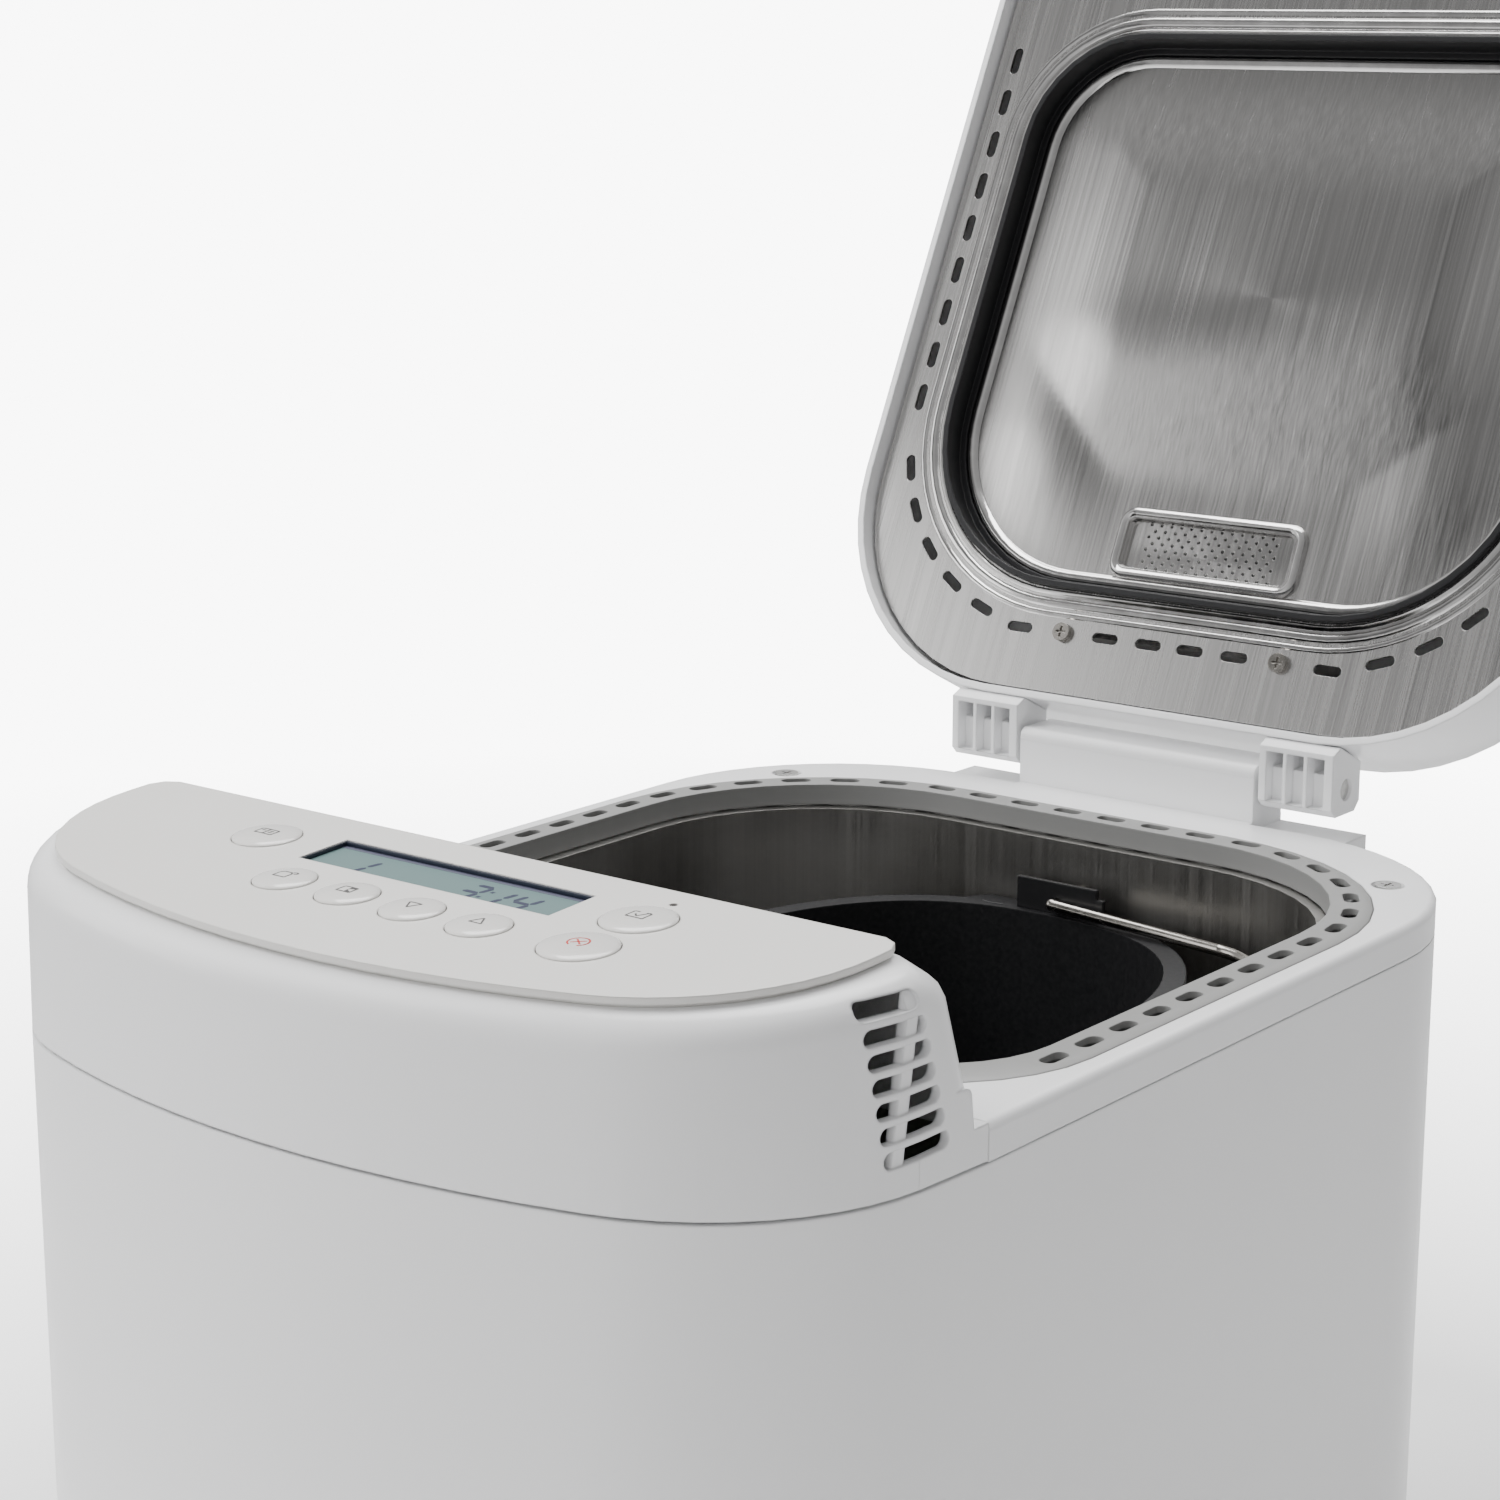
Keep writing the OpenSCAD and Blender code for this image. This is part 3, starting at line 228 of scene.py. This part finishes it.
def pan_coat(name):
    """Sparkling grey outside, black non-stick inside and on the rim's flat top."""
    n = Net(name)
    sep = n.node("ShaderNodeSeparateXYZ")
    n.link(n.at, sep.inputs[0])
    x, y, z = sep.outputs
    drop = n.math("MAXIMUM", n.math("SUBTRACT", RIM_Z * MM, z), 0.0)
    taper = n.math("MULTIPLY", drop, PAN_TAPER)

    def side(v, centre, half):
        d = n.math("ABSOLUTE", n.math("SUBTRACT", v, centre * MM))
        return n.math("POWER", n.math("DIVIDE", d, n.math("SUBTRACT", half * MM, taper)), PAN_POWER)

    outline = n.math("ADD", side(x, 0, PAN_INSIDE[0]), side(y, CHAMBER_Y, PAN_INSIDE[1]))
    inner = n.math("LESS_THAN", outline, 1.0)
    floor = n.math("GREATER_THAN", z, PAN_FLOOR + 0.0014)
    top = n.math("GREATER_THAN", z, (RIM_Z - 0.25) * MM)
    # The flutes cut in from outside, so their face keeps the outer finish
    up = n.math("SUBTRACT", z, PAN_FLOOR + FLUTE_FOOT)
    away = n.node("ShaderNodeCombineXYZ")
    lean = n.math("SUBTRACT", n.math("MULTIPLY", up, PAN_TAPER), FLUTE_AT[0])
    n.link(n.math("ADD", n.math("ABSOLUTE", x), lean), away.inputs["X"])
    along = n.math("MULTIPLY", n.math("SIGN", x), n.math("SUBTRACT", y, CHAMBER_Y * MM))
    n.link(n.math("SUBTRACT", along, FLUTE_AT[1]), away.inputs["Y"])
    n.link(n.math("MAXIMUM", n.math("SUBTRACT", up, FLUTE_TALL), 0.0), away.inputs["Z"])
    length = n.node("ShaderNodeVectorMath", operation="LENGTH")
    n.link(away.outputs[0], length.inputs[0])
    inner = n.math("MULTIPLY", inner, n.math("GREATER_THAN", length.outputs["Value"], FLUTE_SKIN))
    mask = n.math("MAXIMUM", n.math("MULTIPLY", inner, floor), top)
    lip = n.math("MULTIPLY", n.math("GREATER_THAN", z, (RIM_Z - RIM_THICK) * MM),
                 n.math("SUBTRACT", 1.0, mask))
    grain = n.ramp(n.cells(1500)["Color"], (0.0, 0.15), (0.75, 0.4), (1.0, 0.85))
    grit = n.noise(900, 6)
    cloud = n.span(n.noise(12, 3), 0.0, 0.4, 0.3, 0.7)
    grey = n.mix(cloud, (0.33, 0.33, 0.333), (0.42, 0.42, 0.422))
    grey = n.mix(0.22, grey, grain)
    grey = n.mix(n.span(grit, 0.0, 0.35, 0.45, 0.75), grey, (0.56, 0.56, 0.56))
    grey = n.mix(lip, grey, (0.6, 0.6, 0.605))
    matt = n.span(n.noise(700, 4), 0, 1, 0.35, 0.7)
    black = n.mix(matt, (0.01, 0.01, 0.011), (0.018, 0.018, 0.019))
    n.bump(n.noise(1300, 5), 0.12, 0.0001, 0.0006)
    outside = n.mix(lip, (0.46, 0.46, 0.46), (0.3, 0.3, 0.3))
    rough = n.mix(mask, outside, n.mix(top, (0.33, 0.33, 0.33), (0.55, 0.55, 0.55)))
    metallic = n.math("SUBTRACT", 0.45, n.math("MULTIPLY", mask, 0.45))
    return n.put(Base_Color=n.mix(mask, grey, black), Metallic=metallic, Roughness=rough,
                 Specular_IOR_Level=0.3)


WHITE = plastic("white_plastic", (0.9, 0.902, 0.908), 0.3, coat=0.3, edge=0.001)
PEARL = plastic("panel_pearl", (0.79, 0.775, 0.745), 0.36, coat=0.25, edge=0.0008, speck=0.35)
PEARL.node_tree.nodes["Principled BSDF"].inputs["Metallic"].default_value = 0.15
KEY = plastic("button_pearl", (0.74, 0.725, 0.7), 0.2, coat=0.8, edge=0.0004, speck=0.15)
LCD = plastic("lcd_display", (0.12, 0.19, 0.19), 0.45, grain=0.1, edge=0.0)
LCD.node_tree.nodes["Principled BSDF"].inputs["Specular IOR Level"].default_value = 0.2
# Flat dark purple-grey, used only for the painted shadow strip on the display
PAINTED_SHADOW = plastic("lcd_painted_shadow", (0.085, 0.09, 0.135), 0.45, edge=0.0)
NAVY = plastic("lcd_edge", (0.012, 0.017, 0.035), 0.3)
INK = plastic("lcd_ink", (0.006, 0.01, 0.045), 0.5)
PRINT = plastic("icon_grey", (0.055, 0.052, 0.05), 0.5)
RED = plastic("icon_red", (0.55, 0.03, 0.02), 0.45)
BLACK = plastic("dark_plastic", (0.03, 0.03, 0.032), 0.42, grain=0.2)
BRACKET = plastic("bracket_black", (0.014, 0.014, 0.015), 0.34, grain=0.3, coat=0.15)
RUBBER = plastic("soft_rubber", (0.009, 0.009, 0.01), 0.36, grain=0.2)
RING = plastic("grey_ring", (0.24, 0.24, 0.235), 0.4, grain=0.2)
BOARD = plastic("board_green", (0.02, 0.13, 0.07), 0.35)
LENS = plastic("led_lens", (0.03, 0.022, 0.02), 0.25)
LINER = brushed("steel_liner", (0.66, 0.65, 0.64), 0.24, "y", turn=LID_OPEN)
PLATE = brushed("steel_plate", (0.64, 0.63, 0.62), 0.2, "y", turn=LID_OPEN)
TUB = brushed("steel_tub", (0.5, 0.49, 0.47), 0.34, "z", streak=0.06, aniso=0.0)
BRIGHT = metal("steel_bright", (0.72, 0.715, 0.7), 0.16)
POLISHED = metal("steel_polished", (0.78, 0.77, 0.76), 0.1, scale=120)
WIRE = metal("steel_wire", (0.44, 0.42, 0.39), 0.2)
CAST = metal("cast_metal", (0.5, 0.5, 0.5), 0.45, grain=0.4)
ZINC = metal("zinc_plate", (0.6, 0.61, 0.6), 0.4, scale=60)
BRONZE = metal("bronze", (0.55, 0.36, 0.17), 0.4)
PAN = pan_coat("pan_coat")
BLADE = metal("blade_coat", (0.05, 0.05, 0.052), 0.35, grain=0.25, metallic=0.3)

FINISH = {
    WHITE: ["base_tray", "lower_casing", "top_frame", "front_housing", "lid_cover", "hinge_arms"],
    PEARL: ["control_panel"],
    KEY: [k for k in nodes if k.startswith("button_")],
    LCD: ["lcd_window"],
    BLACK: ["lcd_module", "tact_switches", "cord_inlet"],
    BOARD: ["control_board", "power_board"],
    LENS: ["status_led"],
    RING: ["chamber_ring"],
    TUB: ["baking_chamber"],
    LINER: ["lid_liner"],
    PLATE: ["lid_centre_plate", "vent_plate", "steam_duct"],
    RUBBER: ["feet", "drive_belt", "lid_gasket", "shaft_seal"],
    BRIGHT: ["base_screws", "deck_screws", "hinge_pins", "bracket_rivets", "kneading_shaft",
             "drive_shaft", "motor_shaft", "socket_screws", "motor_screws", "temperature_sensor",
             "heating_element", "heater_clips"],
    CAST: ["pan_socket", "pan_foot", "wing_coupler", "drive_pulley", "drive_coupler",
           "motor_pulley"],
    ZINC: ["chassis_plate", "motor_case"],
    BRONZE: ["shaft_bearing", "shaft_bush"],
    WIRE: ["bail", "lid_screws"],
    PAN: ["pan_shell"],
    BLADE: ["kneading_blade"],
    BRACKET: ["pan_brackets"],
}


# ---- Smooth shading of the CAD nodes, by a modifier, so that their meshes stay as they are ----
def smooth_group(angle):
    g = bpy.data.node_groups.new("round_shading", "GeometryNodeTree")
    g.interface.new_socket(name="Geometry", in_out="INPUT", socket_type="NodeSocketGeometry")
    g.interface.new_socket(name="Geometry", in_out="OUTPUT", socket_type="NodeSocketGeometry")
    gi = g.nodes.new("NodeGroupInput")
    go = g.nodes.new("NodeGroupOutput")
    drop = g.nodes.new("GeometryNodeRemoveAttribute")
    drop.inputs["Name"].default_value = "custom_normal"
    weld = g.nodes.new("GeometryNodeMergeByDistance")
    weld.inputs["Distance"].default_value = 0.00001
    face = g.nodes.new("GeometryNodeSetShadeSmooth")
    face.domain = "FACE"
    face.inputs["Shade Smooth"].default_value = True
    edge = g.nodes.new("GeometryNodeSetShadeSmooth")
    edge.domain = "EDGE"
    turn = g.nodes.new("GeometryNodeInputMeshEdgeAngle")
    less = g.nodes.new("FunctionNodeCompare")
    less.data_type = "FLOAT"
    less.operation = "LESS_THAN"
    less.inputs["B"].default_value = math.radians(angle)
    link = g.links.new
    link(gi.outputs[0], drop.inputs[0])
    link(drop.outputs[0], weld.inputs[0])
    link(weld.outputs[0], face.inputs[0])
    link(face.outputs[0], edge.inputs[0])
    link(turn.outputs["Unsigned Angle"], less.inputs["A"])
    link(less.outputs[0], edge.inputs["Shade Smooth"])
    link(edge.outputs[0], go.inputs[0])
    return g


ROUND = smooth_group(31)
for material, names in FINISH.items():
    for k in names:
        o = nodes[k]
        o.data.materials.clear()
        o.data.materials.append(material)
        m = o.modifiers.new("round_shading", "NODES")
        m.node_group = ROUND


# ---- Making pieces ----
def piece(name, verts, faces, material, body, slot, place=HERE, smooth=True, sharp=35):
    """verts are in millimetres in the frame that place maps into the row."""
    me = bpy.data.meshes.new(name)
    me.from_pydata([tuple((place @ Vector(v)) * MM) for v in verts], [], faces)
    me.validate()
    bm = bmesh.new()
    bm.from_mesh(me)
    bmesh.ops.recalc_face_normals(bm, faces=bm.faces)
    for e in bm.edges:
        if len(e.link_faces) == 2 and e.calc_face_angle(0) > math.radians(sharp):
            e.smooth = False
    for f in bm.faces:
        f.smooth = smooth
    bm.to_mesh(me)
    bm.free()
    me.materials.append(material)
    o = bpy.data.objects.new(name, me)
    bpy.context.scene.collection.objects.link(o)
    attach(o, body)
    return o


def loft(loops):
    """Skin between closed outlines that have the same number of points."""
    n = len(loops[0])
    verts = [p for l in loops for p in l]
    faces = []
    for i in range(len(loops) - 1):
        for j in range(n):
            k = (j + 1) % n
            faces.append((i * n + j, i * n + k, (i + 1) * n + k, (i + 1) * n + j))
    return verts, faces


def arc(cx, cy, r, a0, a1, n):
    return [(cx + r * math.cos(math.radians(a0 + (a1 - a0) * i / n)),
             cy + r * math.sin(math.radians(a0 + (a1 - a0) * i / n))) for i in range(n + 1)]


def round_outline(x0, x1, y0, y1, front, back, e, n_front, n_back):
    """Rectangle with round corners of two radii, drawn in by e at its corners' arcs."""
    return (arc(x0 + front, y0 + front, front - e, 180, 270, n_front)
            + arc(x1 - front, y0 + front, front - e, 270, 360, n_front)
            + arc(x1 - back, y1 - back, back - e, 0, 90, n_back)
            + arc(x0 + back, y1 - back, back - e, 90, 180, n_back))


def mouth(e):
    """Outline of the liner's opening, drawn in by e."""
    return round_outline(-112, 112, LID_FRONT + 42, LID_BACK - 40, 40, 62, e, 12, 16)


def inside(p, loop):
    x, y = p
    hit = False
    for i in range(len(loop)):
        x0, y0 = loop[i - 1]
        x1, y1 = loop[i]
        if (y0 > y) != (y1 > y) and x < (x1 - x0) * (y - y0) / (y1 - y0) + x0:
            hit = not hit
    return hit


# ---- Lid: pressed steps round the opening, and the domed centre plate ----
# Each step is how far it is drawn in from the opening, and its height over the liner's face.
steps = [(-10.2, 0.1), (-9.7, -0.5), (-9.0, -0.7), (-8.3, -0.5), (-7.8, -0.1), (-6.9, -0.1),
         (-6.4, -0.7), (-5.6, -1.1), (-4.6, -1.1), (-3.9, -0.7), (-3.5, -0.3), (-2.7, -0.3),
         (-2.2, -0.8), (-1.4, -1.2), (-0.7, -0.9), (-0.3, 0.4), (-0.25, 2.5)]
bead = [(4.7, 7.9), (4.9, 6.9), (5.6, 6.2), (6.6, 6.0), (7.8, 6.5), (8.8, 7.7)]
for name, profile in (("liner_steps", steps), ("plate_bead", bead)):
    piece(name, *loft([[(x, y, LINER_Z + z) for x, y in mouth(e)] for e, z in profile]),
          POLISHED, "lid", "steel_brushed", LID)

VENT_Y = LID_BACK - 61  # the middle of the vent plate
PLATE_Z = LINER_Z + 7.85  # the centre plate's edge
DOME = 4.2  # how far its middle stands out
DOME_SLOPE = 50  # the width of the slope round the dome
VENT_FLAT = (40, 16)  # half of the flat field round the vent
VENT_SLOPE = 66
edge_loop = mouth(3.0)
dome_loop = mouth(8.0)


def nearest(p, loop):
    """Distance from a point to a closed outline."""
    best = 1e9
    for i in range(len(loop)):
        a, b = Vector(loop[i - 1]), Vector(loop[i])
        d = b - a
        t = max(0.0, min(1.0, (Vector(p) - a).dot(d) / max(d.length_squared, 1e-9)))
        best = min(best, (Vector(p) - a - d * t).length)
    return best


def ease(t):
    """Smooth step from 0 to 1."""
    t = min(1.0, max(0.0, t))
    return t * t * (3 - 2 * t)


def dome_z(x, y):
    d = nearest((x, y), dome_loop) if inside((x, y), dome_loop) else 0.0
    away = max(abs(x) - VENT_FLAT[0], abs(y - VENT_Y) - VENT_FLAT[1], 0) / VENT_SLOPE
    return PLATE_Z - DOME * ease(d / DOME_SLOPE) * ease(away)


def vent_loop(e):
    """Outline of the vent plate's rim, drawn in by e."""
    w, h, r = 35.7, 12.5, 6.2
    return round_outline(-w, w, VENT_Y - h, VENT_Y + h, r, r, min(e, r - 0.6), 6, 6)


# The plate is a fine net inside its outline, with a hole for the vent plate
NET = 3.0  # between points
SPARE = 1.4  # between points and outlines
hole = vent_loop(1.6)
net = [Vector(p) for p in edge_loop + hole]
outline = [(i, (i + 1) % len(edge_loop)) for i in range(len(edge_loop))]
outline += [(len(edge_loop) + i, len(edge_loop) + (i + 1) % len(hole)) for i in range(len(hole))]
for i in range(-int(112 / NET), int(112 / NET) + 1):
    for j in range(int(230 / NET)):
        p = (i * NET, LID_FRONT + 40 + j * NET)
        if (inside(p, edge_loop) and not inside(p, hole)
                and nearest(p, edge_loop) > SPARE and nearest(p, hole) > SPARE):
            net.append(Vector(p))
flat, _, cut, *_ = delaunay_2d_cdt(net, outline, [], 1, 1e-4)
cut = [f for f in cut if not inside(sum((flat[k] for k in f), Vector((0, 0))) / len(f), hole)]
piece("domed_plate", [(p.x, p.y, dome_z(p.x, p.y)) for p in flat], [tuple(f) for f in cut],
      PLATE, "lid", "steel_brushed", LID, sharp=60)

# Rolled, polished rim round the vent plate
VENT_Z = LINER_Z + 8
roll = [(-0.4, -0.1), (0.0, -1.4), (0.7, -2.2), (1.7, -2.5), (2.7, -2.1), (3.5, -1.1), (4.0, 0.6),
        (4.2, 1.15)]
piece("vent_rim", *loft([[(x, y, VENT_Z + z) for x, y in vent_loop(e)] for e, z in roll]),
      POLISHED, "lid", "steel_brushed", LID)

# ---- Control panel: display, key symbols ----
LCD_X, LCD_Y = (-42.1, 43.8), (-30.9, -13.4)  # sides of the display's opening
GLASS_Z = -1.38  # the display's face below the panel's face
INK_Z = -1.36


def slab_piece(name, boxes, material):
    verts, faces = [], []
    for x0, x1, y0, y1, z0, z1 in boxes:
        b = len(verts)
        verts += [(x, y, z) for z in (z0, z1) for y in (y0, y1) for x in (x0, x1)]
        faces += [tuple(b + k for k in f) for f in
                  ((0, 2, 3, 1), (4, 5, 7, 6), (0, 1, 5, 4), (2, 6, 7, 3), (0, 4, 6, 2),
                   (1, 3, 7, 5))]
    return piece(name, verts, faces, material, "housing", "dark_plastic", PANEL, smooth=False)


(x0, x1), (y0, y1) = LCD_X, LCD_Y
clear, top_band, side_band, low_band = 0.02, 1.1, 0.5, 0.35
slab_piece("display_edge", [
    (x0 + clear, x1 - clear, y1 - top_band, y1 - clear, GLASS_Z, -0.25),
    (x0 + clear, x1 - clear, y0 + clear, y0 + low_band, GLASS_Z, -0.25),
    (x0 + clear, x0 + side_band, y0 + low_band, y1 - top_band, GLASS_Z, -0.25),
    (x1 - side_band, x1 - clear, y0 + low_band, y1 - top_band, GLASS_Z, -0.25)], NAVY)
# Painted shadow: a dark strip on the display just inside its back edge, standing for the shade that
# the opening's back wall casts onto it
slab_piece("display_painted_shadow", [
    (x0 + side_band, x1 - side_band, y1 - 2.6, y1 - top_band, -1.4, -1.33)], PAINTED_SHADOW)

SEGMENTS = {"1": "bc", "3": "abgcd", "4": "fgbc"}
SLANT = 0.22
FIGURE_Y = -29.4
FIGURE_W, FIGURE_H = 5.4, 9.6
STROKE = 1.5


def figure(ch, x, verts, faces):
    """Seven-segment figure; each stroke is a six-sided bar."""
    w, h, m = FIGURE_W, FIGURE_H, FIGURE_H / 2
    ends = {"a": ((0, h), (w, h)), "b": ((w, h), (w, m)), "c": ((w, m), (w, 0)),
            "d": ((0, 0), (w, 0)), "f": ((0, h), (0, m)), "g": ((0, m), (w, m))}
    for s in SEGMENTS[ch]:
        start, end = Vector(ends[s][0]), Vector(ends[s][1])
        d = (end - start).normalized()
        half, wide = d * STROKE / 2, Vector((-d.y, d.x)) * STROKE / 2
        a, c = start + d * STROKE * 0.12, end - d * STROKE * 0.12
        bar = [a, a + half + wide, c - half + wide, c, c - half - wide, a + half - wide]
        b0 = len(verts)
        verts += [(x + p.x + p.y * SLANT, FIGURE_Y + p.y, INK_Z) for p in bar]
        faces.append(tuple(range(b0, b0 + len(bar))))


verts, faces = [], []
for ch, x in (("1", -30.5), ("3", 8.2), ("1", 16.4), ("4", 25.2)):
    figure(ch, x, verts, faces)
for y in (-27.2, -22.9):
    b0 = len(verts)
    verts += [(15.4 + (y + 29.2) * SLANT + dx, y + dy, INK_Z)
              for dx, dy in ((0, 0), (1.1, 0), (1.3, 1.1), (0.2, 1.1))]
    faces.append((b0, b0 + 1, b0 + 2, b0 + 3))
piece("display_figures", verts, faces, INK, "housing", "dark_plastic", PANEL, smooth=False)

# Middle and radius of each key, in the panel's plane
KEYS = {"menu": (-62.5, -22.7, 9.2), "stop": (65.2, -44.2, 10.0), "start": (64.5, -21.8, 9.7),
        "size": (-31.7, -45.7, 8.2), "crust": (-9.5, -45.7, 8.2),
        "timer_down": (12.7, -45.7, 8.2), "timer_up": (34.9, -45.7, 8.2)}
KEY_EDGE, KEY_DOME = 0.2, 1.2  # height of a key's edge, and of its dome over that
PRINT_LIFT = 0.03
PRINT_WIDE = 0.5


def symbol(key, lines, material=PRINT, fills=()):
    """Strokes printed on the domed key, following its surface."""
    cx, cy, r = KEYS[key]

    def lay(x, y):
        q = min(0.98, math.hypot(x, y) / r)
        return (cx + x, cy + y, KEY_EDGE + KEY_DOME * math.sqrt(1 - q * q) + PRINT_LIFT)

    verts, faces = [], []
    for line in lines:
        for a, b in zip(line, line[1:]):
            d = Vector((b[0] - a[0], b[1] - a[1]))
            n = max(1, int(d.length / 0.5))
            u = d.normalized()
            s = Vector((-u.y, u.x)) * PRINT_WIDE / 2
            b0 = len(verts)
            for i in range(n + 1):
                p = Vector(a) + d * i / n
                verts += [lay(p.x + s.x, p.y + s.y), lay(p.x - s.x, p.y - s.y)]
            faces += [(b0 + k, b0 + k + 1, b0 + k + 3, b0 + k + 2) for k in range(0, 2 * n, 2)]
    for poly in fills:
        b0 = len(verts)
        verts += [lay(*p) for p in poly]
        faces.append(tuple(range(b0, b0 + len(poly))))
    piece("symbol_" + key, verts, faces, material, key + "_key", "button_pearl", PANEL,
          smooth=False)


symbol("menu", [[(-3, -1.7), (-3, 1.7), (3, 1.7), (3, -1.7), (-3, -1.7)], [(0, 1.7), (0, -1.7)],
                [(-2.2, 0.5), (-0.8, 0.5)], [(0.8, 0.5), (2.2, 0.5)], [(0.8, -0.5), (2.2, -0.5)]])
symbol("size", [[(-2.4, -1.8), (-2.4, 0.8), (-1.6, 1.8), (1.0, 1.8), (1.6, 0.8), (1.6, -1.8),
                 (-2.4, -1.8)],
                [(1.2, 2.1), (2.2, 2.6), (2.8, 1.8), (2.0, 1.2)]])
symbol("crust", [[(-2.2, -1.7), (-2.2, 1.7), (2.2, 1.7), (2.2, -1.7), (-2.2, -1.7)]],
       fills=[[(0.2, -1.7), (2.2, -1.7), (2.2, 1.7), (0.2, 1.7)]])
symbol("timer_down", [[(-2, 1.5), (2, 1.5), (0, -2), (-2, 1.5)]])
symbol("timer_up", [[(-2, -1.5), (2, -1.5), (0, 2), (-2, -1.5)]])
symbol("start", [[(-2.6, 1.9), (-2.6, -1.9), (2.6, -1.9), (2.6, 1.9)], [(-2.6, 1.9), (-1.0, 1.9)],
                 [(1.0, 1.9), (2.6, 1.9)], [(-1.2, 0.3), (0, -1.0), (2.0, 2.4)]])
symbol("stop", [arc(0, 0, 2.7, -60, 250, 28), [(-1.5, 1.3), (1.5, -1.3)],
                [(-1.5, -1.3), (1.5, 1.3)]], RED)

# ---- Pan: small embossed arc on the rim's lugs ----
MARK_R = 0.35
ROUND_MARK = [math.radians(60 * k) for k in range(6)]
for side, tag in ((-1, "front"), (1, "back")):
    loops = []
    for i in range(13):
        a = math.radians(200 + 140 * i / 12)
        cx, cy = -24 + 4.2 * math.cos(a), CHAMBER_Y + side * 105.2 + 1.6 * math.sin(a)
        loops.append([(cx + MARK_R * math.cos(b) * math.cos(a),
                       cy + MARK_R * math.cos(b) * math.sin(a),
                       RIM_Z + 0.05 + 0.3 * math.sin(b)) for b in ROUND_MARK])
    piece("lug_mark_" + tag, *loft(loops), BLADE, "pan", "pan_coat")

# ---- Stage: a pale floor that fades into the light background, and soft studio light ----
bpy.ops.mesh.primitive_plane_add(size=14, location=(0, 0, -0.0004))
floor = bpy.context.object
floor.name = "floor"
fl = Net("floor")
pale = fl.mix(fl.span(fl.noise(3, 4), 0, 1, 0.3, 0.7), (0.93, 0.93, 0.93), (0.95, 0.95, 0.95))
fl.put(Base_Color=pale, Roughness=0.7)
reach = fl.node("ShaderNodeVectorMath", operation="LENGTH")
fl.link(fl.at, reach.inputs[0])
gone = fl.node("ShaderNodeBsdfTransparent")
blend = fl.node("ShaderNodeMixShader")
fl.link(fl.span(reach.outputs["Value"], 0.0, 1.0, 0.35, 1.4), blend.inputs[0])
fl.link(fl.b.outputs[0], blend.inputs[1])
fl.link(gone.outputs[0], blend.inputs[2])
fl.link(blend.outputs[0], fl.t.nodes["Material Output"].inputs["Surface"])
floor.data.materials.append(fl.m)


class Sky(Net):
    """The world's nodes, with the same short calls."""

    def __init__(self, name):
        self.m = bpy.data.worlds.new(name)
        self.m.use_nodes = True
        self.t = self.m.node_tree
        self.b = self.t.nodes["Background"]
        self.at = self.node("ShaderNodeTexCoord").outputs["Generated"]


# The room is light at the sides and behind. For reflections it is dark high up and in front,
# which shapes the steel of the lid.
BACKDROP = 9.0  # strength where the camera sees the background itself
ROOM = 0.84
sky = Sky("studio")
bpy.context.scene.world = sky.m
way = sky.node("ShaderNodeSeparateXYZ")
sky.link(sky.at, way.inputs[0])
to_x, to_y, to_z = way.outputs
high = sky.span(to_z, 0.0, 0.9, 0.36, 0.62)
right = sky.span(to_x, 0.0, 1.0, -0.64, -0.4)
ahead = sky.span(to_y, 1.0, 0.0, -0.75, 0.1)
gloom = sky.math("MULTIPLY", sky.math("MAXIMUM", high, right), ahead)
gloom = sky.math("MULTIPLY", gloom, sky.span(to_x, 1.0, 0.3, -0.35, 0.0))
low = sky.math("MULTIPLY", sky.span(to_z, 1.0, 0.62, 0.0, 0.9), sky.span(to_x, 1.0, 0.5, 0.15, 0.8))
path = sky.node("ShaderNodeLightPath").outputs
seen = path["Is Camera Ray"]
shade = sky.math("MULTIPLY", sky.math("MULTIPLY", gloom, 0.84), path["Is Glossy Ray"])
glow = sky.math("MULTIPLY", low, sky.math("SUBTRACT", 1.0, shade))
tint = sky.mix(sky.span(to_z, 0, 1, -1, 1), (0.985, 0.985, 0.99), (1.0, 1.0, 1.0))
sky.link(tint, sky.b.inputs["Color"])
unseen = sky.math("MULTIPLY", sky.math("SUBTRACT", 1.0, seen), sky.math("MULTIPLY", glow, ROOM))
sky.link(sky.math("ADD", sky.math("MULTIPLY", seen, BACKDROP), unseen), sky.b.inputs["Strength"])

# Name, place, aim, width, height, power, and whether it shows in gloss and lights matt surfaces
for name, where, aim, w, h, power, glossy, diffuse in (
        ("key", (-1.3, -0.9, 1.9), (0, 0, 0.3), 1.2, 1.0, 46, False, True),
        ("front", (0.5, -2.3, 1.0), (0, 0, 0.3), 1.4, 1.2, 9, False, True),
        ("top", (-0.4, 0.6, 2.15), (0, 0, 0.2), 1.6, 1.4, 50, True, True),
        ("window", (-1.65, -1.0, 0.95), (0, 0.1, 0.4), 1.0, 1.2, 7.5, True, False)):
    d = bpy.data.lights.new(name, "AREA")
    d.shape = "RECTANGLE"
    d.size, d.size_y, d.energy = w, h, power
    o = bpy.data.objects.new(name, d)
    bpy.context.scene.collection.objects.link(o)
    o.location = where
    o.rotation_euler = (Vector(aim) - Vector(where)).to_track_quat("-Z", "Y").to_euler()
    o.visible_glossy = glossy
    o.visible_diffuse = diffuse

# The lens place and angle of the photograph
cam_data = bpy.data.cameras.new("camera")
cam_data.lens = 77.96
cam_data.sensor_width = 36
cam_data.clip_start = 0.01
cam = bpy.data.objects.new("camera", cam_data)
bpy.context.scene.collection.objects.link(cam)
cam.location = (0.5489, -0.5863 + PANEL_Y * MM, 0.5484)
cam.rotation_euler = (math.pi / 2 - 0.2313, 0, 0.6736)
bpy.context.scene.camera = cam
